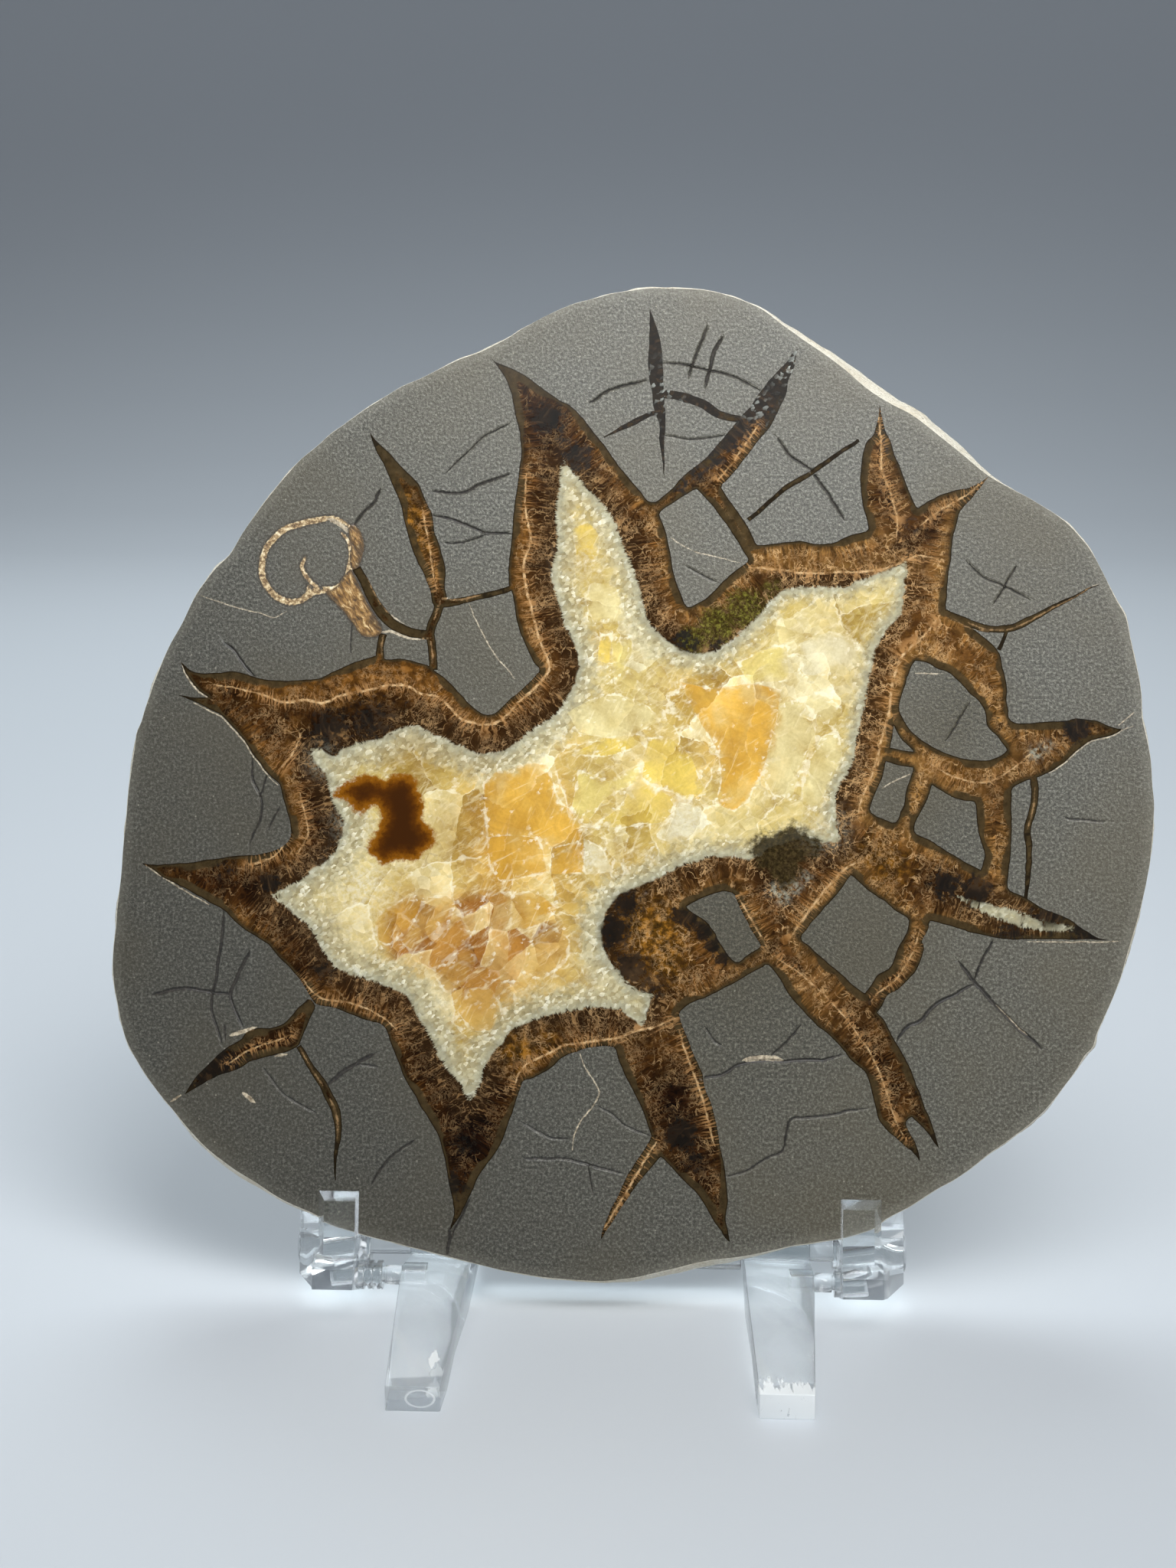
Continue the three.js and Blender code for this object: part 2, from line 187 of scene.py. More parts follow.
# The walls of the star of veins, and of the veins that stand apart from it.
STAR_WALL = pairs("""
 -20.8 53.6  -20.1 52.9  -17 51.6  -14.9 50.2  -12.2 48.2  -10.1 47  -8.8 45.8  -7 43.7  -5.2 41.4
 -3.4 38.8  -1.6 36.6  .2 34.5  1.2 34.3  2.1 34.9  3.6 36.3  5.1 37.9  7.5 39.8  9.3 41.9  10.8 43.7
 11.9 45.1  13.6 47  15.1 49.2  16.3 50.7  17.8 52.3  19.8 54.9  19.3 52.2  18.6 50.4  18.4 48.8
 17.5 46.7  16.3 44.3  14.8 42.5  13 40.1  11.2 37.9  9.9 36.4  11.8 33.4  13.6 30.7  14.6 28.8
 16 28.7  18.4 29  20.8 29.1  22.4 28.8  24.5 28.9  26.1 29.6  27.9 30.2  29.2 30.7  29.1 31.6
 28.6 33.7  28.3 35.8  28.2 38.2  28.4 40.7  28.9 42.3  29.8 43.2  30.5 45.5  30.6 47.5  31.2 44.6
 32.1 42.2  33 39.8  34.1 37  35 34.9  35.6 33.4  37 34.5  38.8 35.4  40.6 35.9  42.4 36.3  43.9 37
 45 37.9  43.6 36  42.4 34.6  41.2 33.2  40.8 31.6  40.2 29.5  40 27  39.7 24.3  39.5 22.2  39.6 19.6
 42.4 18.1  44.3 16.6  45.8 15.3  46.4 14.4  46.8 12.6  47.4 9.9  47.4 7.8  47.7 5.9  48.8 5.3
 51.8 5.5  54.5 5.6  56.4 6  58.2 5.9  60 5.3  62.3 4.7  60.6 3.8  58.2 3.1  56.7 2  54.5 0  52.7 -1
 51.2 -1.8  49.7 -2.2  48.2 -3.2  48 -4.4  48 -8.3  47.9 -11.3  47.7 -14.4  47.6 -16.3  49.8 -17.4
 51.8 -18.6  54.8 -19.8  57 -21.3  58.5 -22.2  60.5 -22.7  57.3 -22.7  53.9 -22.7  50 -22.8
 46.7 -22.7  43.9 -22.2  41.2 -21.5  39.1 -20.9  37.4 -20.6  37.3 -21.6  36.4 -23.1  36.7 -24
 36.1 -26.2  34.8 -28  33.3 -29.5  32.1 -30.1  31.4 -31.6  30.8 -32.4  31.4 -33.1  32.4 -34.9
 33.3 -36.5  34.5 -38.6  35.5 -41  36.5 -43.4  37.4 -45.8  38.2 -48  38.9 -50.1  40 -51.3  38.2 -49.2
 37 -47.7  35.2 -45.8  34.4 -46.6  34.8 -47.7  35.8 -49.4  36.3 -51.7  35.5 -50.7  33.9 -49.2  32.1 -47.7
 30.9 -46.2  30.2 -43.7  29.8 -41.9  29.1 -40.1  27.6 -38.9  26.1 -37.1  24.5 -35.5  22.7 -34
 21.2 -32.5  19.3 -30.4  18.1 -28.3  16.9 -26.8  16.3 -26.3  15.7 -26.8  13.9 -27.8  11.5 -29.2
 9 -30.5  6.6 -31.6  5.1 -32.7  5.2 -34  6 -35.8  6.9 -38  8 -40.4  8.6 -42.8  9.5 -45.2  10.1 -47.7
 10.5 -50.4  11.2 -53.7  11.5 -56.8  11.3 -59.2  11.8 -62.5  10.8 -61.3  9.9 -59.8  8.4 -57.4
 6.9 -55.5  5.1 -53.7  3.6 -52.2  2.8 -51.5  2.1 -52.2  .2 -54.6  -1.6 -57.1  -3.1 -59.5  -4.9 -62.4
 -4.3 -60.1  -3.1 -57.4  -1.6 -54.3  -.1 -51.6  1.5 -48.9  1.2 -48  .2 -45.2  -1 -42.8  -2.5 -39.8
 -3.5 -37.4  -5.2 -37.4  -7.9 -37.8  -10.1 -38.9  -11.9 -40.4  -14 -41.6  -15.2 -41.9  -15.5 -42.8
 -16.4 -45.5  -17.3 -48  -18.2 -50.4  -19.8 -52.8  -21 -54.6  -22.2 -57.4  -23.4 -59.8  -24.5 -61.6
 -24.1 -58.9  -24.5 -56.8  -25.2 -53.4  -25.8 -50.7  -26.7 -48.6  -27.9 -46.5  -29.7 -43.7
 -30.9 -41.6  -31.8 -39.2  -32.6 -37.4  -33.2 -35.8  -34.2 -34.8  -36.1 -34.3  -38.2 -33.6
 -40.3 -32.8  -42.4 -32.4  -43.3 -31.5  -43.9 -30.4  -44.8 -29.2  -46.1 -27.7  -47.6 -26.2
 -49.1 -24.6  -50.6 -23.7  -52.1 -22.8  -53.6 -21.6  -55.2 -20.1  -57 -19.2  -58.8 -18.2
 -60.9 -17.1  -63.3 -15.9  -64.4 -15  -66.2 -14.1  -64.2 -14.3  -61.8 -14.2  -59.4 -13.9
 -57 -13.5  -54.8 -13.2  -52.4 -12.9  -50.3 -12.7  -48.5 -12.2  -47 -11.3  -46.4 -10.4  -46.5 -8.3
 -47.1 -6.5  -47.7 -4.7  -48 -3.5  -49.4 -2.2  -50.6 -.7  -51.8 .8  -53 2.6  -54.5 4.1  -56.1 5.6
 -57.9 6.5  -59.4 7.3  -61.8 8.2  -57.6 7.8  -58.8 8.7  -59.8 9.8  -60.9 11.4  -61.5 12.6
 -60.3 11.6  -58.5 11.1  -56.4 11.3  -54.8 11.5  -53 11.2  -51.2 10.6  -49.4 10.3  -47.3 10.2
 -45.2 10.3  -43.3 10.5  -41.8 11.2  -40 12  -38.2 12.8  -36.4 13.4  -35.2 13.8  -33.9 13.2
 -32.1 13.2  -30.3 12.9  -28.5 12.3  -27.3 11.5  -26.1 10.5  -24.5 9  -22.2 6.7  -20.7 5.9
 -19.5 6.2  -17.9 7.8  -16.4 9  -14.9 10.5  -13.7 11.8  -14.6 12.9  -15.5 14.7  -16.3 16.5
 -16.9 19  -17.5 21.6  -18.1 23.4  -18 25.8  -17.8 28.2  -17.5 31.3  -17.3 34.3  -16.9 37.9
 -16.6 40.7  -16.7 43.1  -17.3 45.5  -17.8 47.9  -18.5 50.1  -19.8 52.2""")
LONE_WALLS = [pairs(text) for text in (
    """-36.8 43.4  -34.8 41.3  -33.3 39.8  -31.8 38.2  -30.3 36.7  -29.2 34.6  -28.3 32.5  -27.9 30.1
 -27.1 27.6  -26.4 25.2  -26.5 22.5  -26.2 21.3  -27.2 20  -28 20.4  -28.5 22.5  -29.1 24.3  -30.3 26.4
 -31.2 28.8  -32 31.6  -32.7 34.3  -33.6 36.4  -34.8 39.2  -35.8 41""",
    """-42.7 -32.5  -43.3 -34.3  -44.2 -36.2  -44.8 -37.7  -46.4 -38.6  -48.2 -39.2  -50.6 -39.8  -53 -41
 -55.5 -41.9  -57.6 -43.1  -59.7 -44.3  -58.8 -42.8  -57.6 -41.3  -56.1 -39.8  -54.5 -38.3  -52.4 -37.1
 -51.8 -36.2  -50.3 -35.5  -48.5 -35.5  -46.7 -34.8  -45.2 -33.1  -43.6 -31.6""",
    """.2 60.1  1.2 57.6  1.9 54.3  2.1 51.9  2.2 49.5  2.4 47.3  2.4 42.2  2.35 39.8  2.4 37.3  2.1 39.2
 1.8 42.2  1.6 44.6  1 46.4  .7 48.8  .2 50.7  .1 53.1  .2 56.4""")]
# Narrow veins: the width in millimetres at the start, the middle and the end, then the middle line.
NARROW_VEINS = [((a, b, c), pairs(text)) for a, b, c, text in (
    (1.2, 1.0, 1.2, "-34.9 13.2  -34.9 15  -34.6 16.6"),
    (1.2, 1.1, 1.2, "-27.8 11.8  -28 14  -28.3 16.4"),
    (1.2, 1.2, 1.2, "-28.4 15.8  -28.2 17.6  -27.5 19.3  -27 21.2"),
    (1.1, .8, .8, "-26.9 20.6  -24.4 20.9  -21.8 21.5  -19.5 22.1  -17.4 22.8"),
    (1.2, 1.4, 1.2, "-38.2 25.2  -36.5 22  -35.3 20  -33.5 18  -31.3 16.9  -28.4 16.4"),
    (.1, 1.0, .9, "59.2 23.6  56 22  53.5 20.7  50.5 19  48 17.8  44.5 17.7  42 18.7  39.3 19.8"),
    (.6, .5, .6, "47.4 17.6  47.1 16.6  46.3 14.9"),
    (1.0, .9, .5, "50.8 -1.6  51 -3.5  50.7 -6  50 -8.5  50.2 -11  50.1 -14  49.8 -17.6"),
    (1.1, 1.2, .8, "2.2 48.6  4.8 48.2  7.2 47.5  9.3 46.1  11.2 45.5  13.9 45.1"),
    (.7, 1.3, .1, "-44.8 -37.8  -43.3 -40.4  -41.5 -42.8  -40.9 -44  -40 -45.8  -39.5 -47.7  -39.4 -49.8"
                  "  -39.7 -52.2  -39.6 -55.2"),
    (.5, .7, .5, "13.4 31.9  16.3 34.3  18.4 36.1  21.8 38.2  23.9 39.8  26.1 41.3  27.9 42.6"),
    (.5, .8, .15, "1.3 46.3  -2.8 44.3  -5.5 42.9"))]
# Blocks of mudstone that the veins run round.
ISLANDS = [pairs(text) for text in (
    """2.4 33.4  3.6 34.2  5.1 35.2  6.6 36  7.2 35.4  9 33.4  10.8 31  12.4 28.5  13.6 26.7  13.3 26.3
 11.5 24.9  9.6 23.1  7.8 21.3  5.8 20.2  4.9 21.6  4 24  3.3 27.3  2.7 30.4  1.8 32.5""",
    """35.5 13.5  37 13.1  38.5 12.3  40 11.7  41.2 10.5  42.4 9.4  43.8 8.1  44.5 6.5  44.8 5  46.1 3.5
 47.3 1.9  46.4 1.1  44.8 .4  43 .5  41.2 .8  39.4 1.4  37.6 2.3  36.1 3.2  34.8 4.4  33.8 5.9  33.3 7.2
 33.8 9.3  34.5 11.4""",
    "32.7 4.9  33.4 3.6  34.5 2.4  35.4 1.6  33.8 1.7  32.2 2",
    "31.7 .2  33.3 -.3  35.2 -.7  34.5 -3.2  33.9 -5.6  33.3 -7.4  32.7 -7.8  31.2 -7.1  29.7 -6.2  30 -4.7"
    "  30.8 -2.8  31.4 -1.3",
    """37.7 -2.8  40 -4.2  41.5 -4.8  43.2 -5  43.5 -7.1  43.9 -9.5  44.4 -11.6  44.1 -13.8  42.4 -13
 40 -11.6  37.6 -10.1  35.5 -9.1  35.5 -8  36.5 -5.9  37.4 -3.8""",
    """27.3 -14.8  29.4 -16.6  31.5 -18  33.3 -19.4  34.7 -20.3  34.5 -21.9  33.3 -24.3  32.3 -26.6
 30.9 -27.4  30 -28.6  29 -30  27 -28.3  24.8 -26.5  22.4 -24.5  20.9 -23.3  20.8 -22.8  21.8 -21.3
 23.6 -19.2  25.5 -17.1""",
    """10.8 -16.9  11.9 -17.2  13 -19.5  14.3 -21.9  15.5 -24.1  14.2 -24.9  12.6 -26.2  11.8 -25.7
 10.6 -24.2  9.6 -22.5  8.3 -20.8  7 -20  5.7 -19.1  6.8 -18.4  8.9 -17.5""")]
# The calcite: the big hollow, and a sliver in a vein on the right.
CALCITE_EDGES = [pairs(text) for text in (
    """-11 39.8  -11.4 37.6  -11.6 34.9  -11.9 32.2  -11.6 30.4  -11.7 27.9  -12.2 25.8  -12.2 23.7
 -11.6 21.3  -10.8 19.2  -10.7 18.1  -9.6 16.2  -8.8 14.1  -8.6 12.6  -9.2 9.9  -10.4 7.8  -12.2 5.6
 -14.6 4.1  -16.7 2.3  -18.8 1.1  -20.7 .8  -22.5 1.1  -25.2 2.3  -27.3 3.2  -29.1 4  -30.3 4.4
 -31.8 4  -33.6 3.2  -35.5 2.3  -37.6 2  -39.4 1.4  -40.9 .5  -42.1 1.1  -44.1 1.4  -43.3 -.4
 -42.1 -1.9  -41.4 -3.5  -41.1 -5  -40.2 -6.8  -39.4 -8.3  -39.4 -10.1  -40.3 -11.6  -41.5 -13.5
 -43.3 -14.7  -44.8 -15.9  -46.7 -17.1  -48.6 -18.2  -47.3 -19.2  -45.8 -20.4  -44.2 -21.6
 -42.6 -23.8  -41.5 -25.8  -40 -27.5  -38.2 -28.3  -35.8 -29  -33.6 -29.8  -31.5 -30.4  -30.3 -31.6
 -29.1 -33.7  -27.6 -36.2  -26.4 -38.9  -25.2 -40.4  -23.6 -42.4  -22.3 -44.6  -21.6 -43.7
 -20.8 -41.9  -20.1 -39.2  -18.2 -37.1  -16.4 -35.2  -14.3 -34  -11.9 -33.4  -9.5 -32.8  -7 -32.4
 -4.6 -32.2  -2.8 -32.3  -1.6 -33.1  .2 -34.6  .8 -33.1  1.5 -30.5  .2 -30.1  -1.6 -29.2  -3.1 -27.4
 -4.6 -25.5  -5.2 -23  -5.1 -21.5  -4.6 -19.5  -3.1 -17.7  -.7 -16.5  1.8 -15.3  4.2 -14.1  6.3 -13.2
 9.3 -12.4  12.4 -12.4  14.2 -12.8  16.3 -11.6  18.4 -10.7  20.8 -9.8  23 -10.3  25.9 -10.1
 25.3 -8.3  25 -5.9  25.6 -3.2  26.7 -1.3  27.6 1.1  28 3.8  28.6 6.2  29.1 8.7  29.4 11.1  29.8 13.2
 30.6 15.6  31.8 17.8  33.3 19.6  33.9 21.4  34.1 23.7  34.2 26.6  32.1 25.4  30 24.6  27.9 23.8
 25.2 23.1  20 23  17.8 22.5  16.6 21.3  15.1 19.4  13.3 17.5  11.5 15.9  9.6 14.7  7.8 14.1  6 14.2
 4.2 15  2.4 16.2  .8 18.1  -.1 20.3  -.8 23.1  -1.6 25.5  -2.8 27.9  -3.8 30.4  -4.6 32.5  -6.1 34.3
 -7.9 36.1  -9.5 37.9""",
    "41 -17.2  44 -18  48 -19  52 -20.3  56 -21.2  53 -21.7  49 -21  45 -19.6")]
# The shell of the small ammonite: its ribbed tail and the thick side of its whorl.
SHELL_EDGES = [pairs(text) for text in (
    """-42.2 21.9  -41 20.6  -39.6 19.1  -38.4 17.6  -37.2 16.3  -36.1 16.1  -35.2 16.4  -34.8 17
 -35.2 18.2  -36 19.4  -36.9 20.9  -37.8 22.6  -38.5 24  -38.9 25.2  -39.9 24.2  -40.8 23""",
    """-38.6 31.1  -37.8 30.1  -37.3 28.3  -37.6 26.4  -38.1 25.2  -38.9 25  -39.2 26.6  -39 28.2
 -39.4 29.8  -39.3 30.9""")]
# Four kinds of thin line: the width in millimetres, then the line. First, the tan growth seams where two
# layers of aragonite meet.
SEAMS = [(width, pairs(text)) for width, text in (
    (.34, """-15.9 38  -15.9 34  -15.5 31  -15.1 28.9  -16 26  -15.9 24  -15.3 21.5  -14.4 18  -13.7 15.5
 -12.6 13  -12.4 12  -13.4 10.5  -15 9  -16.8 7.3  -18.3 5.7  -20.3 4.6  -22.5 4.8  -24 5.3  -25.3 6.5
 -27.3 8.3  -29.5 8.6  -31 9.5  -33.5 9.7  -37 9  -40 8.3  -42.5 7.4  -45 7.7  -47.5 7.3  -50 8.2
 -53 9  -57 9.7"""),
    (.25, "-46 4  -45.4 3  -46.3 .5  -48 -1.5"),
    (.3, "13.6 25.7  16.5 25.4  20 25  26 25  31 25.4  34 26.6  35.5 27.2  38.5 27.1"),
    (.3, "30.5 46  30.8 42  31 38.5  32 36  32.8 33  33 31.5  32.9 29.5"),
    (.2, "44.5 37.3  41.5 35  38.5 33.2  36 31.2"),
    (.34, """38.3 19.2  36.8 17  35 15.3  33.6 13.8  32.8 11.5  32.3 9  32.1 6.8  31.8 5.5  31 2.8
 30.4 0  29.4 -2.8  28.4 -5  28.2 -6.5"""),
    (.34, "28.8 -12.8  27.6 -13.2  26.3 -14  24 -16.5  21.5 -19.8  19.6 -22.4"),
    (.22, "12.5 -17.5  14.2 -20.5  15.7 -23  16.5 -24.5"),
    (.3, """4.5 -33.6  1.5 -34.8  0 -35  -2.5 -36  -5 -36.5  -8 -37  -10 -37.3  -12 -38.3  -14.5 -39.5
 -15.8 -40.8  -16.5 -43"""),
    (.28, "5 -35  6.5 -39.5  8 -43.5  9.2 -48  9.8 -50"),
    (.3, "2.2 -49.5  .7 -52  -.8 -54.8  -2.5 -57.6  -4.4 -60.8"),
    (.22, "-44.5 -29  -43.2 -30.6  -41.6 -31.7  -38 -32.2  -34.4 -33.6  -31.8 -35.6"),
    (.22, "-46.9 -10.6  -48.5 -13  -52 -14.2  -50 -13.4"),
    (.2, "-45.2 -4.6  -44.6 -7.4  -44.2 -10.2  -45.4 -12.6"),
    (.2, "-29.6 33.4  -28.9 29.8  -28.3 26.2  -27.6 22.4"),
    (.22, "14.8 44.6  12.2 40.6  9.4 37.2"),
    (.2, "17.6 -25.6  22 -28.6  26 -32.6  29.4 -37  31.6 -41.6  33.2 -46.6  34.6 -49"),
    (.2, "36.2 -21.4  35.2 -24.8  33.2 -28  31.2 -29.6  30 -31"),
    (.2, "37.2 .2  40.6 -1.8  44.6 -2.4  48 -.6  50.4 1.4"),
    (.2, "-54.4 -40.4  -51.6 -38.6  -48.4 -37.4  -45.8 -36.4"))]
# Pale calcite in hair cracks.
PALE_LINES = [(width, pairs(text)) for width, text in (
    (.16, "-7.9 -38.3  -7 -40.4  -5.8 -42.2  -5.3 -43.3  -6.1 -44.9  -7.5 -46.8  -8.4 -48.6  -8.8 -50.8"),
    (.1, "3.3 29.5  6.3 27.8  12.4 26.3"), (.5, "-42.4 31.9  -41 31.5  -39.9 30.7  -39.3 29.8"),
    (.1, "-59 21.5  -55 20.2  -51 19.2  -49 18.6  -47.5 19.5"),
    (.14, "35.5 11.8  39 11.7"), (.14, "35.2 -1.3  32.5 -2.5  31.2 -3.3"),
    (.18, "-59.6 7.2  -57.9 6.3  -56.1 5.4  -54.5 3.9  -53 2.4  -51.8 .6  -50.6 -.9  -49.4 -2.4  -48.2 -3.6"),
    (.16, "-61.4 12.4  -60.7 10.9  -59.6 9.3  -58.2 8.1  -57 7.4"),
    (.16, "-66 -14  -64.2 -15.3  -61 -17.3  -57 -19.5"),
    (.16, "63.6 5.1  62.3 4.6  60.6 3.7  58.2 3  56.7 1.9  54.5 -.1  52.7 -1.1"),
    (.12, "63.8 7  61.8 5.3"), (.14, "62 -22.8  58.6 -23  54 -23  50 -23.1"),
    (.18, "58 23  56 21.9  53.5 20.6  50.5 18.9  48 17.7  44.5 17.6  42 18.6"),
    (.14, "44.8 17.2  42 18  39.9 19.3"),
    (.34, "-35.2 16.7  -33.6 16.9  -31.8 16.2  -29.5 15.9  -28.2 16.1"),
    (.16, "-36.9 24  -35.5 21.4  -34 19.4  -31.4 17.6"),
    (.5, "-42.2 31.7  -40.8 31.3  -39.5 30.2"),
    (.3, "-27.9 18.4  -27.4 20  -26.8 21.2  -24.4 21.1  -21.8 21.7"),
    (.26, "-34.7 13.4  -34.7 15  -34.5 16.4"), (.24, "-28 12.4  -28.1 14.4  -28.3 16"),
    (.5, "-54 -36.7  -52 -36  -50.3 -35.4"), (.4, "-48 -39.3  -46.4 -38.9"),
    (.5, "-52.2 -44  -50.5 -45.4"), (.7, "13.3 -38.8  15.6 -38.5  18.5 -38.7"),
    (.2, "51 -3  50.7 -6  50 -8.5"), (.3, "-40.6 -44.6  -39.6 -47.2  -39.5 -50"),
    (.2, "-44.6 -38.2  -43.2 -40.6  -41.5 -42.9"), (.18, "46 -31.2  47.9 -33.2  50.1 -35.1"),
    (.14, "59.4 23.8  57.6 22.9"), (.18, "-1.2 -28.9  -.4 -29"), (.12, "-23.5 21  -20 14.4  -17 10.6"),
    (.3, "-61.6 -45.4  -60.2 -44.4"))]
# The ammonite's whorl in section.
SHELL_LINES = [(width, pairs(text)) for width, text in (
    (.8, """-38.9 30.5  -41 31.9  -44 31.6  -46.5 31  -48.8 29.8  -50.3 28  -50.9 26  -50.8 24.3
 -50 22.6  -48.6 21.2  -46.5 20.6  -45 21.3  -44 22  -42.5 22.3  -41 22.6  -39.8 23.5  -39.2 25
 -39 27  -39.3 28.7  -40.3 30"""),
    (.5, "-45 26.8  -45.5 25.5  -44.9 24  -43.8 23  -43 22.3"))]
# Dark open cracks.
CRACKS = [(width, pairs(text)) for width, text in (
    (.25, "-.1 50.5  -2.8 49.8  -5.2 49  -7.6 47.5"),
    (.2, "2.1 52.8  4.8 52.6  7.8 51.9  11.5 51  14.9 49.2"),
    (.25, "7.9 57.9  7.1 55.5  6 52.8  5.5 50.7"), (.4, "9.9 56.3  8.7 54  8.3 51.9  7.7 49.5"),
    (.12, "2.4 43.1  6.3 42.5  8.4 42.9  10.5 43.2"),
    (.28, "17.4 42.8  19 40.4  21.5 38.7  22.1 37.8  23.9 35.5  25 33.7  26.1 31.9"),
    (.12, "5.4 25.7  9.3 23.7"), (.3, "-28.2 35.5  -26 35.4  -24 35.5  -21.6 36.7  -18.2 37.8"),
    (.3, "-28.2 32.3  -25.8 31.9  -24 31.1  -21.3 30.1  -17.8 29.9"),
    (.15, "-26.7 28.6  -24 28.8  -21.3 29.8"),
    (.12, "-26.5 38.1  -24.5 40.1  -21.3 43.1  -18.2 44.6"),
    (.35, "-55.7 15.3  -54.4 14.3  -53 12.3  -51.6 10.8"),
    (.1, "-38.8 18  -38.8 14"), (.2, "-51.6 0  -51.5 -3  -50.4 -5  -50.4 -8  -51.8 -11.5"),
    (.16, "-49.7 -2.3  -50.3 -5"), (.16, "-47.9 -6.5  -49.3 -9.5"),
    (.3, "-55.1 -20.2  -55.3 -24.5  -55.9 -29  -56.4 -32  -56.2 -34  -55 -37.6"),
    (.45, "-64.3 -31.4  -62 -30.8  -60 -30.5  -57 -30.9  -54.2 -31.3"),
    (.4, "-51.5 -25.4  -52.5 -27.5  -53.6 -30  -54 -31.4  -53.3 -33.3  -52.3 -35.2"),
    (.55, "-40.9 -42.8  -39.1 -41.3  -37.3 -40.1  -34.7 -38.7"),
    (.12, "-49.4 -40.8  -48.2 -42.3  -46.5 -44.3  -42.3 -46.5"),
    (.12, "-37.4 -40  -34.2 -40.4"), (.25, "-35 -55.7  -33.3 -53.1  -31.2 -51  -29.2 -49.8"),
    (.15, "-15.5 -47.3  -13 -48.5  -11.5 -49.2  -9 -49.4"), (.2, "-15 -52  -9.5 -51.9  -6 -52.8  -2 -53.8"),
    (.12, "-6.6 -53  -6 -56.5"), (.12, "-5.5 -45  -3.5 -46.2  -2 -47.5  1.3 -48.8"),
    (.4, "8 -41.3  11 -40.6  13 -39.3  15.6 -38.9  18.5 -38.9  24 -38.6  26 -38"),
    (.2, "17 -38.2  19.3 -36  20.8 -34.2"), (.14, "8.3 -34.6  9 -35.4  9.8 -36.6  10.6 -37"),
    (.2, "11 -54  14 -53  16.5 -51.5  18.5 -50.5  18.9 -48.2  19.6 -46.4  23.5 -46  27 -45.2  29.5 -44.9"),
    (.45, "33.3 -36.2  34.5 -34.3  36.4 -33.4  37.9 -31.6  40.3 -30.2  43 -28.7"),
    (.5, "41.2 -25.7  43.2 -28.4  45.5 -30.8  47.9 -33.4  50.3 -35.4  51.9 -36.8"),
    (.25, "45.5 -23  44.3 -25.3  43.3 -28"), (.15, "42 26.5  44.5 24.3  47 23.3  49 22.3  50.3 21.5"),
    (.15, "48.6 26  47 23.3  45.5 21"), (.12, "42.6 8  41 5.5  40.5 4.5  39.4 3"),
    (.3, "-38.6 31.1  -37.3 32.8  -36.1 34  -35.2 36"), (.35, "-24.5 -61.2  -24.7 -62.8  -24.8 -64.6"),
    (.2, "-22 -57.4  -23.5 -60.6  -24.4 -62.6"), (.14, "54.8 -7  57 -7.2  60 -7.4"),
    (.3, ".3 -17.2  .8 -17.1"), (.14, "-54.6 -37.2  -54.7 -35.2"))]
# The tones of the calcite, from milky to tawny. Every single crystal takes one of them.
CALCITE_TONES = {"milk": (230, 220, 185), "cream": (230, 215, 160), "straw": (230, 210, 130),
                 "lemon": (225, 195, 95), "honey": (220, 170, 70), "amber": (205, 155, 60),
                 "tan": (205, 165, 90), "tawny": (190, 135, 60)}
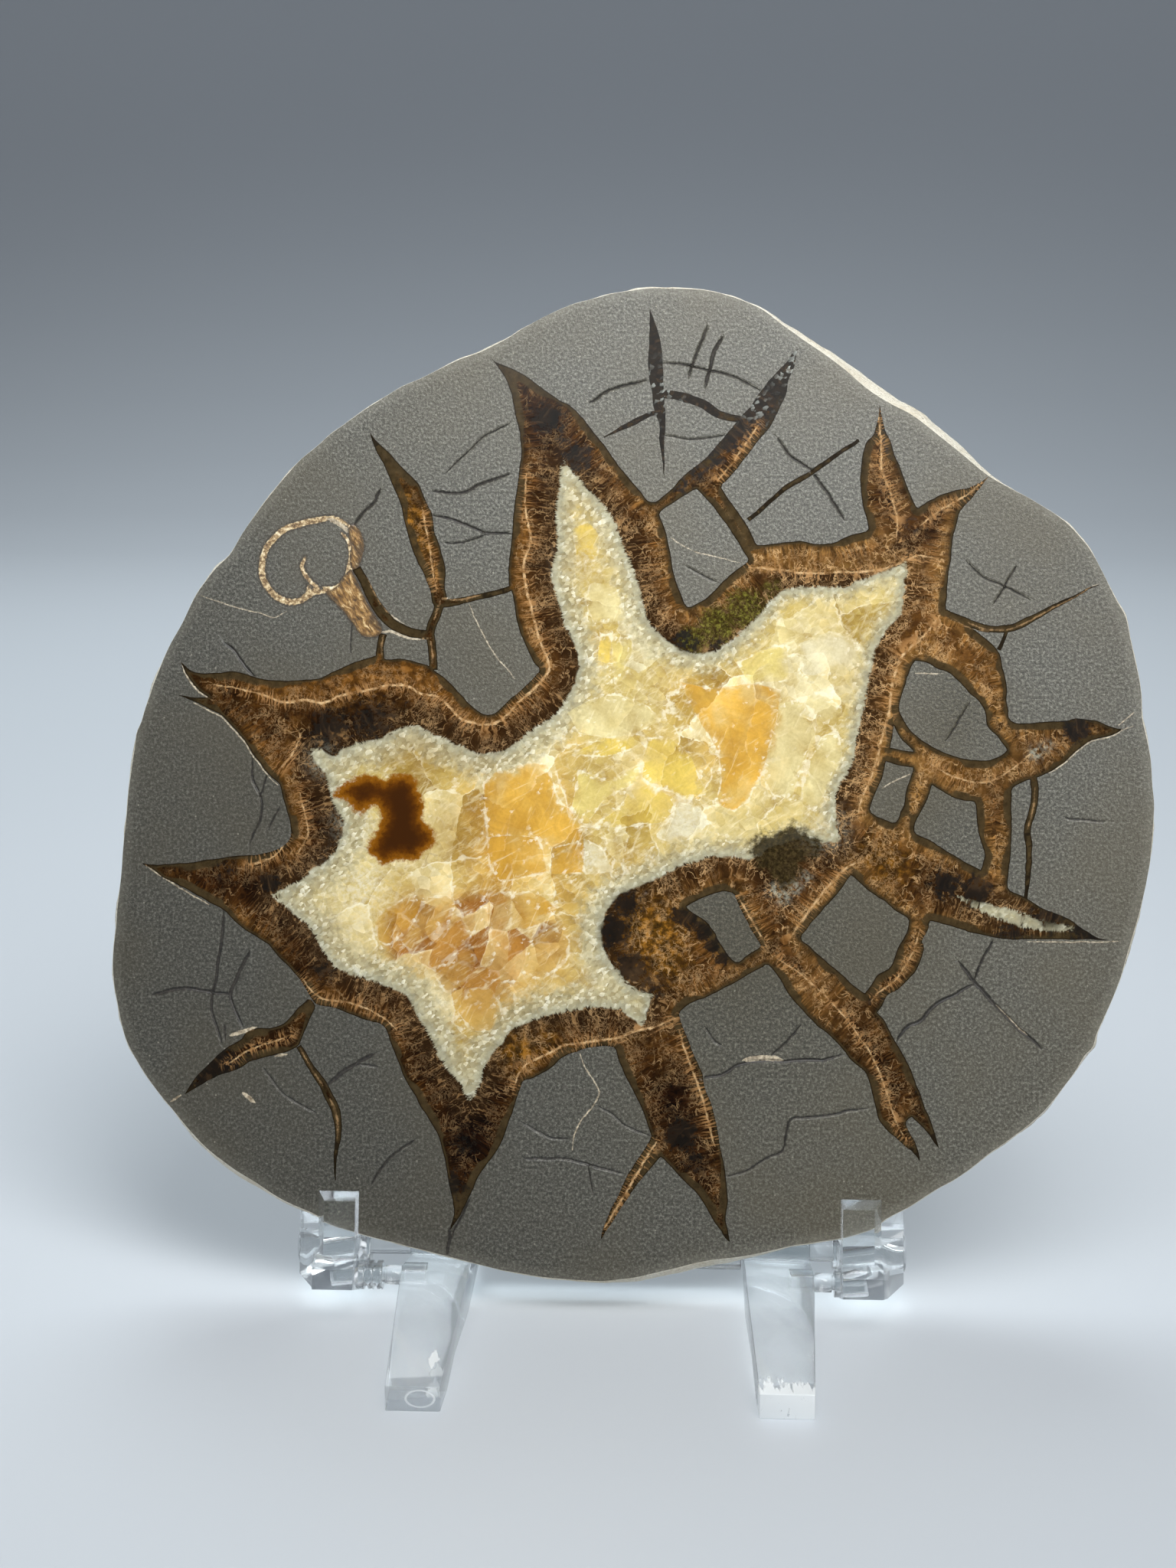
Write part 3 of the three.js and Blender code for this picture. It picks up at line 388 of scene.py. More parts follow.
# Single crystals that stand out in the calcite: the tone, then the outline.
CRYSTALS = [(CALCITE_TONES[tone], pairs(text)) for tone, text in (
    ("cream", "-10 6.3  -7 8  -3.5 8.8  .5 7.3  2.2 5.4  -1 3.6  -5 3  -8.5 3.5"),
    ("lemon", "-9.5 .8  -5.5 2.9  -1.2 3.6  .6 2.8  -2 1.5  -5 .5"),
    ("lemon", ".8 3  3.5 3  6.3 .5  7.3 -2.3  8.5 -4  6 -5  3 -3.8  -.2 -2.3  0 .5"),
    ("straw", "-8.5 -1.2  -4.5 -2.7  -.4 -.2  -.6 -2.5  -5 -5  -7.5 -8.8  -9.3 -6.2  -8.6 -3"),
    ("lemon", "-.5 -2.5  4.3 -5  3.2 -8  0 -8.3  -5 -9  -7 -10  -3.5 -13.5  -1 -12  -.2 -9.6"
     "  -4.6 -8.6  -6.8 -8.7  -3.2 -6.2"),
    ("milk", "4.8 -5.3  7.5 -6  8.6 -8  7 -9.8  4 -10.8  1.5 -9.8  3.2 -8"),
    ("honey", "4.8 10.4  9 9.6  14 10.4  17.8 9.4  17.4 5  16.6 1.5  15.4 -1.8  13.6 -5.2  11.8 -6.6"
     "  9.6 -5.4  10.2 -2.6  9.8 1.2  8.4 3.6  6.6 6.4"),
    ("cream", "17.8 7.7  20.5 8.2  22 6.8  22.5 3  20.5 -1  19.5 -5  17 -4.2  15.8 -2.5  16.3 1.5"
     "  17.2 4.6"),
    ("straw", "12.2 13  13.8 10.2  19 10.9  18.7 15.5  15 14.5"),
    ("straw", "-4.5 16.6  -1.7 16.6  -1.5 14  -2.5 12.5  -3.8 10  -4.2 13.5"),
    ("cream", "-8 21.5  -6.8 18.2  -2.3 18.6  -3.3 21.5  -3.7 23  -7 23.5"),
    ("honey", "-20.9 -3  -19.5 -1.7  -15 -.3  -12.5 -.7  -11 -5.5  -9.3 -6.5  -7.8 -9.5  -7.7 -10.4"
     "  -11.8 -11.4  -12.6 -10.4  -13.5 -10.2  -17 -9.9  -20.3 -10.1  -20.8 -7"),
    ("amber", "-20.3 -10.2  -17 -10  -13.5 -10.3  -12.6 -14.8  -18.5 -16  -20 -14"),
    ("honey", "-11.8 -11.5  -7.8 -10.5  -7.7 -14.7  -12 -15"),
    ("milk", "-7.7 -10.2  -5.3 -11.5  -3.8 -14.6  -7.6 -14.9"),
    ("tawny", "-20.3 -17.7  -18.5 -17.4  -17 -18.3  -16.5 -20  -18 -22.5  -20 -22.8"),
    ("amber", "-17 -17.7  -14 -17.4  -10.8 -19.3  -13.5 -21.7  -17 -22.3"),
    ("tawny", "-19.8 -22.5  -16 -22  -15.3 -24  -15 -26  -16.3 -29  -19.5 -29.2  -21.2 -28.5  -19 -25.7"),
    ("amber", "-35 -21.6  -33.4 -19.6  -31 -18.2  -28.6 -17.8  -28.9 -20.4  -31 -22.6  -33.4 -24.6"
     "  -34.6 -23.8"),
    ("tan", "-28 -18.2  -25.4 -17.9  -24.2 -19.6  -27 -22.4  -30.2 -25.4  -31.6 -24"),
    ("tawny", "-24 -20.4  -22 -19.4  -21.8 -22.4  -24.6 -25.4  -27.4 -27.6  -29.4 -26.2"),
    ("tan", "-27 -28.4  -24.6 -26.2  -22.4 -24.2  -21.6 -26.4  -23.2 -29.4  -25.4 -30.8"),
    ("tan", "-14.6 -23.4  -12 -22  -9.4 -23.6  -9.8 -26.4  -13 -28.6  -15.4 -27.6"),
    ("tan", "-22.4 -30  -19.6 -30  -18.2 -32.4  -19.4 -35.4  -22 -35.6  -24 -33"),
    ("cream", "20.2 8.4  23.4 9.2  26 7  24.8 4.6  23 5.6  22.2 7"),
    ("milk", "20.4 15.6  24.4 17.2  27.4 16.2  27.8 13.4  24 11.4  20.8 11.6"),
    ("cream", "23.2 3.4  25.4 4  26 .6  24.2 -3.2  22.4 -6.4  20.6 -4.6  21.4 -1"),
    ("lemon", "-9.6 30.6  -7.6 31.6  -6 29.6  -6.4 26.4  -9 26"),
    ("lemon", "-5.8 16.8  -6.2 13.2  -4.6 12.8  -4.4 16.4"))]
# Soft stains under the polish, and places of painted glints. For each kind, places across and up, radius and
# strength, four by four.
STAINS = {kind: np.array(text.split(), dtype=float).reshape(-1, 4) for kind, text in (
    ("deep", """
 -14 46 7 1  -9 40.5 5 .8  4 -43 7.5 1  7.4 -53 6 1  -22.4 -50 8 1.1  -30 -40 5 .55  -38 5 7.5 .9
 -44 -27 5 .9  -58 -16 6 1  -50 -17 4 1  40 -18 6 .7  50 -21 8 .9  34 -38 8 .6  30 43 5 1  38 34 4 .8
 33 31.4 4 .6  17 49 5 .9  31 38 4.5 1  36.4 33 4 .8  10 41 4 .5  -50 -39 9 1  56 4.6 4 .6  31 -14 4.5 .7
 -33 38 5 .5  -27.4 22 4 .4  -13 34 4 .4  -42 -10 3.6 .5  3 -39 4 .4  -46.5 -21 4 .8  13 38 4 .4
 24 30 3 .4  44 -18 4 .9  36 32 4.6 1.1  32 35 4.6 1.1  15.4 -14.8 2.6 .8  40 2.4 4 .35  -22 -47 7 .9
 -25 -42 5 .8  56 -22 6 1  27 -26 3 .4  52 4.6 4 .6"""),
    ("black", """
 -13 45.5 2.2 .9  -9 40.2 2.2 .8  -11 42.8 1.6 .5  5.5 -48.6 2.3 1  7 -52 2.2 .5  -36 5.2 4 .6
 -41.5 4 3 .8  -31 6.6 3 .3  -49 -16.6 1.5 1  -55 -14.8 2 .5  56.4 4.6 2 1  39.5 -15.8 2.4 .8
 43.5 -16.6 2.4 .9  57.5 -22 3 .8  48 -22.3 3 .6  53 -19.8 2.5 .8  -55.6 -41.2 3.6 1.2  -51.5 -39.6 2 .5
 1.4 50 5 1.2  1.6 43 4 1.2  -22.6 -50 2.6 .5  -24.2 -55.5 2.4 .7  -41.6 -28 2 .6  -46.4 -8.4 1 .2
 4.8 -20.2 1.2 1  6.4 -20.8 1.2 1.1  8 -22.2 1.2 1.1  9.2 -24 1.2 1.1  10.6 -25.8 1.1 1  17 50 3 1.1
 18.4 53 3 1.1  15.4 47.6 2.4 1  50 -20.6 3 .42  -14 44.4 1.8 .5  12.6 44 2 .9  9 40.4 2 .7  4.6 36.4 2 .5
 31 43 2 .4  14.4 46.4 2.8 1  11 42.4 2.2 .8  7 38.4 2.2 .6  31.6 41 1.6 .4  35 31 2 .4  1.2 -29.4 3 .5
 -3.6 -22.4 2.4 1  -1.4 -26.8 2.4 .9  -2 -18.8 2.4 .8  18.4 47.6 1.8 .7  16.4 50.6 2.8 .8  19 55 3 1
 13 45.6 2 .5  7 47 3.4 1.1  -4.4 47 4 1.1  1 56 4 1.2  34.4 -34 2 .5  36.4 -43 2 .4  30.6 -30.8 2 .4
 5.4 15.6 2.2 .7  9.6 15.4 2 .5  -33.6 31.6 1.5 .8  -31.6 27.4 1.3 .8  -29.6 23.4 1.1 .7"""),
    ("olive", "16.4 -11.6 2.6 1.2  19.4 -10.9 2.8 1.3  22 -11 1.9 1  18.6 -14 2.4 1.2  18.4 -15.8 1.6 .8"),
    ("shade", """
 14 -22 20 .8  28 -22 10 .8  -22 14 9 .35  48 30 14 .25  36 -4 13 .7  40 7 8 .9  -46 -2 14 .3"""),
    ("amber", """
 -32.6 35 1.6 .8  -31.2 32 1.8 .9  -29.8 28.4 1.6 .9  -28.4 24.6 1.3 .8  2 -22.4 4 1.1  3 -25.6 3.2 .8
 -15.6 -38.2 2.2 .9  -12 -37 2 .4  31.4 -12.6 3 .6  33 -13.6 2.4 .5"""),
    ("rust", """
 -45 10.6 3.4 .8  -40 10.2 3.4 .9  -35.6 11.4 3.4 1  -31 11.4 3.2 1  -27 9.6 2.6 .7  -50 9 3 .5
 -16.4 30 2.2 .4  -16.2 22 2.2 .4  41.4 13.6 4 .45  37 17.4 4 .4  45.4 10.4 2.6 .4  41 -1.4 3.6 .35
 3 -38 3 .3  -41.6 -31.2 2 .4"""),
    ("green", "9.4 18 2.8 1.1  13 20.4 2.8 1.1  6.4 16 2.4 .9  16.6 23 2 .6  8 -24 3 .2"),
    ("warm", """
 -15.4 -7.6 7.4 1  -17 -14 7 1  -18 -24 9 1  -27.4 -23 6.6 .9  -22.6 -31 5 .6  -10.4 -17 4 .5  12.8 4 7 .8
 2 -2 7 .45  6 9 4 .4  -3 -14 5 .3  -21.4 -7 3.2 .6  -10 1 4 .3  -6 15 2.4 .3  -12.4 -27 5 .6"""),
    ("mosaic", "-21 -24.4 7.6 1  -29 -23 5.4 .9  -13 -24 5 .6  -21 -31.6 3.6 .5"),
    ("dusky", """
 -30 -.6 5 .75  -25 -9 5 .7  -8 27 4.4 .26  -9 33 4 .25  19 3 6 .25  -38 -22 4.5 .3  27 11.4 4.5 .4
 -29 -16 4 .3  -20 -32 5 .4  26 18 5 .4  -22 1 4 .5"""),
    ("frost", """
 -8 26 3 .3  -38 -22 3 .25  -37 -17 4 .5  -33 -12 3 .3  17.2 -16.8 .7 .8  18.4 -17.6 .8 .9  20 -16.4 .7 .8
 21.4 -15 .6 .7  24.2 -9.8 1.2 .6  -37.6 -8.6 2.4 .7  -42.4 -.4 1.6 .6  -7 -13 1.6 .4  6 -8 2.6 .35
 24 -8.6 2.4 .4  51 1.4 .8 .8  52.6 2.4 .6 .7  1.3 -12.5 .45 1.4"""),
    # painted glints: white sparkles of light on the dark cracks near the top
    ("glint", "18.4 53.4 2.6 .8  14.6 47 2 .4  1.6 49 3 .5"),
    ("tan", """
 38 17 7 .7  43 6 8 .65  38 -4 7 .6  32 23 5 .8  -40 10 8 .7  20 -20 6 .7  8 -24 7 .8  7.6 -14.6 5 1
 13 -10.4 3 .6  22 -31 5 .6  -56 -12 2.6 .5"""))}
# The amber blot in the calcite.
BLOT_EDGE = pairs("""
 -41 -5  -39.5 -3.4  -37.5 -2.4  -36 -2.1  -34 -2.8  -33 -2.2  -31 -2  -29.8 -3  -29.2 -5  -28.5 -6
 -28.9 -8  -27.4 -9.5  -27.2 -11  -28.5 -12.2  -30 -13.5  -32 -13.3  -34 -14  -35.5 -13  -36.2 -11.8
 -35.5 -10.3  -34.8 -9  -34.4 -7.5  -35.3 -6  -37 -7.3  -38 -7  -38.7 -5.8""")


def rock_noise(places, cell, seed):
    """Smooth random values from -1 to 1: random numbers at the corners of cells, blended by 3t^2 - 2t^3."""
    places = np.asarray(places, dtype=float) / cell
    if places.shape[1] == 2:
        places = np.column_stack([places, np.full(len(places), 0.5)])
    period = 64
    corners = np.random.default_rng(seed).uniform(-1, 1, (period, period, period))
    whole = np.floor(places).astype(int)
    part = (places - whole) ** 2 * (3 - 2 * (places - whole))
    total = np.zeros(len(places))
    for corner in np.ndindex(2, 2, 2):
        weight = np.where(np.array(corner), part, 1 - part).prod(axis=1)
        total += weight * corners[tuple(((whole + corner) % period).T)]
    return total


WANDER_MM = ((1.7, 0.13), (0.7, 0.08))      # the cell and the reach of each size of noise


def wandering(line):
    """The line with each point pushed aside by two sizes of rock noise, as a grown edge is never smooth."""
    push = [sum(rock_noise(line, cell, seed + size) * reach for size, (cell, reach) in enumerate(WANDER_MM))
            for seed in (11, 13)]
    return line + np.stack(push, -1)


CUTS_PER_SIDE = 8
# The cosine of the turn where a corner stays sharp, and how far on from there it is fully rounded.
SHARP_TURN, TURN_RANGE = -0.3, 0.8


def smooth_line(points, step, closed=False, roundness=1.0):
    """A curve through the points, cut into equal steps: a cubic between neighbours, whose slope at a point is
    the mean direction of its two sides times the shorter one, and fades to none where the line turns sharply.
    With a roundness of 0 the sides are straight."""
    after = np.roll(points, -1, 0)
    side = after - points
    if not closed:
        side[-1] = side[-2]
    length = np.linalg.norm(side, axis=1, keepdims=True)
    before = np.roll(side, 1, 0) if closed else np.concatenate([side[:1], side[:-1]])
    before_length = np.linalg.norm(before, axis=1, keepdims=True)
    turn = (side / length * before / before_length).sum(1, keepdims=True)
    slope = (side / length + before / before_length) / 2 * np.minimum(length, before_length)
    slope *= np.clip((turn - SHARP_TURN) / TURN_RANGE, 0, 1) * roundness
    t = np.linspace(0, 1, CUTS_PER_SIDE, endpoint=False)[None, :, None]
    curve = ((2 * t**3 - 3 * t**2 + 1) * points[:, None] + (t**3 - 2 * t**2 + t) * slope[:, None]
             + (3 * t**2 - 2 * t**3) * after[:, None] + (t**3 - t**2) * np.roll(slope, -1, 0)[:, None])
    curve = curve.reshape(-1, 2) if closed else curve[:-1].reshape(-1, 2)
    curve = np.concatenate([curve, points[:1] if closed else points[-1:]])
    run = np.concatenate([[0], np.cumsum(np.linalg.norm(np.diff(curve, axis=0), axis=1))])
    marks = np.linspace(0, run[-1], max(3, round(run[-1] / step)) + 1)
    even = np.stack([np.interp(marks, run, curve[:, axis]) for axis in (0, 1)], -1)
    return even[:-1] if closed else even


def ribbon(points, widths, step):
    """The closed outline of a narrow vein: its middle line moved half its width to each side."""
    middle = smooth_line(points, step)
    along = np.gradient(middle, axis=0)
    across = np.stack([-along[:, 1], along[:, 0]], -1) / np.linalg.norm(along, axis=1, keepdims=True)
    half = np.interp(np.linspace(0, 1, len(middle)), (0, 0.5, 1), widths)[:, None] / 2
    return np.concatenate([middle + across * half, (middle - across * half)[::-1]])


def inside(places, outline):
    """True where a place lies in the outline: a ray to the right crosses it an odd number of times."""
    x, y = places[:, 0, None], places[:, 1, None]
    x0, y0 = outline[:, 0], outline[:, 1]
    x1, y1 = np.roll(x0, -1), np.roll(y0, -1)
    crosses = (y0 > y) != (y1 > y)
    at = (x1 - x0) * (y - y0) / np.where(y1 == y0, 1, y1 - y0) + x0
    return (crosses & (x < at)).sum(1) % 2 == 1


PAIRS_AT_ONCE = 4_000_000


def nearest(places, marks):
    """For each place, the distance to the nearest mark and that mark's number. The squared distances are
    a^2 - 2ab + b^2, for a share of the places at a time."""
    places, marks = places.astype(np.float32), marks.astype(np.float32)
    found = []
    for part in np.array_split(places, max(1, len(places) * len(marks) // PAIRS_AT_ONCE)):
        square = (part**2).sum(1)[:, None] - 2 * part @ marks.T + (marks**2).sum(1)
        number = square.argmin(1)
        found.append((np.linalg.norm(part - marks[number], axis=1), number))
    return np.concatenate([f[0] for f in found]), np.concatenate([f[1] for f in found])


# Kinds of face. Every crystal has a number of its own, from CRYSTAL on.
MUDSTONE, VEIN, BLOCK, SHELL, CALCITE, CRYSTAL = 1, 2, 3, 4, 5, 6
LINE_STEP_MM = 0.5
EDGE_STEP_MM, CRYSTAL_STEP_MM = 0.6, 0.6
EDGE_CELL_MM, EDGE_REACH_MM = 2.5, 0.08
CRYSTAL_ROUNDNESS = 0.15
edge_line = smooth_line(FACE_EDGE, EDGE_STEP_MM, closed=True)
edge_line += np.stack([rock_noise(edge_line, EDGE_CELL_MM, seed) for seed in (3, 4)], -1) * EDGE_REACH_MM
closed_lines = [(MUDSTONE, edge_line)]
for outlines, kind in (([STAR_WALL] + LONE_WALLS, VEIN), (ISLANDS, BLOCK), (SHELL_EDGES, SHELL),
                       (CALCITE_EDGES, CALCITE)):
    closed_lines += [(kind, wandering(smooth_line(points, LINE_STEP_MM, True))) for points in outlines]
closed_lines += [(VEIN, wandering(ribbon(points, widths, LINE_STEP_MM))) for widths, points in NARROW_VEINS]
closed_lines += [(CRYSTAL + number, wandering(smooth_line(points, CRYSTAL_STEP_MM, True, CRYSTAL_ROUNDNESS)))
                 for number, (_, points) in enumerate(CRYSTALS)]


def tapered(lines, step):
    """Open lines as points and half-widths. A width narrows to a quarter over the last sixth at each end."""
    places, halves = [], []
    for width, points in lines:
        line = wandering(smooth_line(points, step))
        t = np.linspace(0, 1, len(line))
        places.append(line)
        halves.append(width / 2 * (0.25 + 0.75 * np.clip(np.minimum(t, 1 - t) * 6, 0, 1) ** 0.6))
    return places, halves


for number, (kind, line) in enumerate(closed_lines):      # all run anticlockwise
    x, y = line.T
    if (x * np.roll(y, -1) - y * np.roll(x, -1)).sum() < 0:
        closed_lines[number] = (kind, line[::-1])

thin_lines = {name: tapered(lines, LINE_STEP_MM) for name, lines in
              (("seam", SEAMS), ("pale", PALE_LINES), ("whorl", SHELL_LINES), ("crack", CRACKS))}

# Every line becomes edges of one flat mesh of triangles, filled with points that lie closer where
# the pattern is finer. Each kind of filling has its step and the gap it keeps from every line.
rng = np.random.default_rng(7)
SPAN_MM = 71.0
MUDSTONE_STEP_MM, MUDSTONE_GAP_MM = 1.25, 0.55
VEIN_STEP_MM, VEIN_GAP_MM = 0.52, 0.24
CALCITE_STEP_MM, CALCITE_GAP_MM = 0.72, 0.32
LINE_SIDE_MM = 0.32      # from a thin line to the row of points on each side of it
WITH_HULL, MERGE_MM = 0, 1e-4


def scattered(step):
    """A square lattice of points, each moved at random by up to a third of the step."""
    line = np.arange(-SPAN_MM, SPAN_MM, step)
    lattice = np.stack(np.meshgrid(line, line), -1).reshape(-1, 2)
    return lattice + rng.uniform(-step / 3, step / 3, lattice.shape)


def inside_any(places, kinds):
    """True where a place lies in one of the closed lines of these kinds."""
    hit = np.zeros(len(places), dtype=bool)
    for kind, line in closed_lines:
        if kind in kinds:
            hit |= inside(places, line)
    return hit


line_marks = np.concatenate([line for _, line in closed_lines]
                            + [line for places, _ in thin_lines.values() for line in places])
wide = scattered(MUDSTONE_STEP_MM)
wide = wide[inside(wide, edge_line) & ~inside_any(wide, (VEIN,))]
fine = scattered(VEIN_STEP_MM)
in_calcite = inside_any(fine, (CALCITE,))
fine = fine[inside_any(fine, (VEIN,)) & ~inside_any(fine, (BLOCK,)) & ~in_calcite]
middling = scattered(CALCITE_STEP_MM)
middling = middling[inside_any(middling, (CALCITE,))]
fill = [cloud[nearest(cloud, line_marks)[0] > gap]
        for cloud, gap in ((wide, MUDSTONE_GAP_MM), (fine, VEIN_GAP_MM), (middling, CALCITE_GAP_MM))]

corners, borders, links = [], [], []
count = 0
for kind, line in closed_lines:
    corners.append(line)
    borders.append(list(range(count, count + len(line))))
    count += len(line)
for places, _ in thin_lines.values():
    for line in places:
        corners.append(line)
        ids = np.arange(count, count + len(line))
        links += np.stack([ids[:-1], ids[1:]], -1).tolist()
        count += len(line)
for places, _ in thin_lines.values():
    for line in places:
        along = np.gradient(line, axis=0)
        aside = np.stack([-along[:, 1], along[:, 0]], -1) / np.linalg.norm(along, axis=1, keepdims=True)
        fill += [line + aside * LINE_SIDE_MM, line - aside * LINE_SIDE_MM]
corners = np.concatenate(corners + fill)
flat_points, _, flat_faces, _, _, origins = delaunay_2d_cdt(
    [Vector(point) for point in corners.tolist()], links, borders, WITH_HULL, MERGE_MM, True)
border_kinds = [kind for kind, _ in closed_lines]
kinds_round = [[border_kinds[border] for border in origin] for origin in origins]
face_kind = np.array([max(kinds, default=0) for kinds in kinds_round])
in_star = np.array([CALCITE in kinds or VEIN in kinds for kinds in kinds_round])
face_kind[(face_kind >= CRYSTAL) & ~in_star] = MUDSTONE
triangles = np.array(flat_faces)[face_kind > 0]
face_kind = face_kind[face_kind > 0]
used, triangles = np.unique(triangles, return_inverse=True)
triangles = triangles.reshape(-1, 3)
face_points = np.array([point[:] for point in flat_points])[used]
first, second = (face_points[triangles[:, i]] - face_points[triangles[:, 0]] for i in (1, 2))
turned = first[:, 0] * second[:, 1] < first[:, 1] * second[:, 0]
triangles[turned] = triangles[turned][:, ::-1]


def triangle_sides():
    """The three sides of every flat triangle, as pairs of corners with the lower number first."""
    return np.sort(np.concatenate([triangles[:, pair] for pair in ([0, 1], [1, 2], [2, 0])]), axis=1)


def edges_between(first, second):
    """Edges of the flat mesh with a triangle of the first set on one side and of the second on the other."""
    sides = triangle_sides()
    owners = np.tile(np.arange(len(triangles)), 3)
    order = np.lexsort((sides[:, 1], sides[:, 0]))
    sides, owners = sides[order], owners[order]
    twin = (sides[1:] == sides[:-1]).all(1)
    a, b = owners[:-1][twin], owners[1:][twin]
    keep = (first[a] & second[b]) | (first[b] & second[a])
    return sides[:-1][twin][keep]


def from_edges(places, edges):
    """The distance from each place to the nearest edge, and the point of that edge which is nearest."""
    start, end = face_points[edges[:, 0]], face_points[edges[:, 1]]
    marks = np.concatenate([start * .75 + end * .25, start * .25 + end * .75])
    _, number = nearest(places, marks)
    start, side = start[number % len(edges)], (end - start)[number % len(edges)]
    share = ((places - start) * side).sum(1) / (side**2).sum(1)
    foot = start + np.clip(share, 0, 1)[:, None] * side
    return np.linalg.norm(places - foot, axis=1), foot


filling = (face_kind == VEIN) | (face_kind >= CALCITE)
calcite = face_kind >= CALCITE
wall_edges = edges_between(filling, ~filling)
core_edges = edges_between(calcite, ~calcite)
facet_edges = np.concatenate([edges_between(face_kind == kind, calcite & (face_kind != kind))
                              for kind in range(CRYSTAL, CRYSTAL + len(CRYSTALS))])
wall_mm, wall_foot = from_edges(face_points, wall_edges)
core_mm, _ = from_edges(face_points, core_edges)
facet_mm, _ = from_edges(face_points, facet_edges)
edge_mm, _ = nearest(face_points, edge_line)
shell_mm, _ = from_edges(face_points, edges_between(face_kind == SHELL, face_kind != SHELL))
in_core = np.zeros(len(face_points), dtype=bool)
in_core[triangles[calcite]] = True
core_mm = np.where(in_core, core_mm, -core_mm)
line_mm = {}
for name, (places, halves) in thin_lines.items():
    gap, number = nearest(face_points, np.concatenate(places))
    line_mm[name] = gap - np.concatenate(halves)[number]
    if name == "seam":      # how much further from the wall a place is than the seam nearest to it
        beyond_seam = wall_mm - from_edges(np.concatenate(places), wall_edges)[0][number]
blot_gap, _ = nearest(face_points, smooth_line(BLOT_EDGE, 0.3, True))
stain = {}
for kind in sorted(STAINS):
    stain[kind] = np.zeros(len(face_points))
    for across, up, radius, strength in STAINS[kind]:
        square = ((face_points - (across, up)) ** 2).sum(1)
        stain[kind] = np.maximum(stain[kind], strength * np.exp(-square / radius**2))
stain["blot"] = np.where(inside(face_points, BLOT_EDGE), blot_gap, -blot_gap)


# The rim: rows of points from the front face's edge to the back one's. The rind bulges and flares
# out towards the back at the upper right and below, and is rough all round.
# A flare is the angle of its middle and its spread to each side, in degrees, and its reach in millimetres.
FLARES = ((60, 27, 2.1), (42, 14, 0.9), (275, 21, 1.2), (226, 12, 1.2))
STILL_WITHIN_MM = 50      # nearer the middle of the face, a flare fades
RIM_DEPTHS_MM = (0.1, 0.3, 0.7, 1.2, 1.8, 2.5, 3.2, 3.9, 4.6, 5.3, 5.9, 6.25, 6.42)
GRIT = ((5, 21, 0.22), (1.9, 22, 0.13), (0.8, 23, 0.07))      # cell in mm, seed, reach in mm
WORN_BELOW_MM = -50      # the underside is only half as rough
sides, times = np.unique(triangle_sides(), axis=0, return_counts=True)
rim_ids = np.unique(sides[times == 1])
rim_ids = rim_ids[np.argsort(np.arctan2(face_points[rim_ids, 1], face_points[rim_ids, 0]))]


def flared(points, behind):
    """The points carried outwards: by each flare's reach, times the squared cosine of the angle from its
    middle, times the sine of the depth behind the face. The middle of the face stays where it is."""
    angle = np.degrees(np.arctan2(points[:, 1], points[:, 0]))
    distance = np.linalg.norm(points, axis=1)
    reach = np.zeros(len(points))
    for middle, spread, out in FLARES:
        off = np.abs((angle - middle + 180) % 360 - 180) / spread
        reach += out * np.cos(np.minimum(off, 1) * math.pi / 2) ** 2
    reach *= math.sin(behind / SLICE_THICKNESS_MM * math.pi / 2)
    reach *= np.clip(distance / STILL_WITHIN_MM, 0, 1) ** 4
    return points * (1 + reach / np.maximum(distance, 1))[:, None]


rim_rows = []
for behind in RIM_DEPTHS_MM:
    to_back = SLICE_THICKNESS_MM - behind
    row = flared(face_points[rim_ids], behind)
    out = row / np.linalg.norm(row, axis=1, keepdims=True)
    spot = np.column_stack([row, np.full(len(row), behind)])
    rough = sum(rock_noise(spot, cell, seed) * reach for cell, seed, reach in GRIT)
    rough *= np.where(row[:, 1] < WORN_BELOW_MM, 0.5, 1) * min(1, behind / 0.7, to_back / 0.3)
    bulge = 0.16 * math.sqrt(min(1, behind / 0.5)) + 0.12 * math.sin(math.pi * behind / SLICE_THICKNESS_MM)
    bulge -= 0.3 * max(0, 1 - to_back / 0.3)
    rim_rows.append(np.column_stack([row + out * (rough + bulge)[:, None], spot[:, 2]]))

CRACK_DEPTH_MM, CRACK_SLOPE_MM = 0.14, 0.1
front = np.column_stack([face_points, np.zeros(len(face_points))])
front[:, 2] += CRACK_DEPTH_MM * np.clip(-line_mm["crack"] / CRACK_SLOPE_MM, 0, 1)
rear = np.column_stack([flared(face_points, SLICE_THICKNESS_MM),
                        np.full(len(face_points), SLICE_THICKNESS_MM)])
slice_points = np.concatenate([front, rear] + rim_rows)
rim = np.concatenate([rim_ids[None], 2 * len(front) + np.arange(len(rim_rows) * len(rim_ids)).reshape(
    len(rim_rows), -1), rim_ids[None] + len(front)])
rim = np.concatenate([rim, rim[:, :1]], axis=1)
rim_quads = np.stack([rim[:-1, :-1], rim[1:, :-1], rim[1:, 1:], rim[:-1, 1:]], -1).reshape(-1, 4)
slice_mesh = bpy.data.meshes.new("septarian_slice")
slice_mesh.from_pydata(on_easel(*slice_points.T).tolist(), [],
                       triangles.tolist() + (triangles[:, ::-1] + len(front)).tolist() + rim_quads.tolist())


def keep(name, kind, domain, values):
    """Stores values on the mesh for the materials to read."""
    attribute = slice_mesh.attributes.new(name, kind, domain)
    word = {"FLOAT": "value", "FLOAT_VECTOR": "vector", "FLOAT_COLOR": "color"}[kind]
    attribute.data.foreach_set(word, np.ascontiguousarray(values, dtype=np.float32).ravel())


def on_both(values):
    """Values of the flat mesh for the front and the back, and nought for the rim."""
    return np.concatenate([values, values, np.zeros(len(rim_rows) * len(rim_ids))])


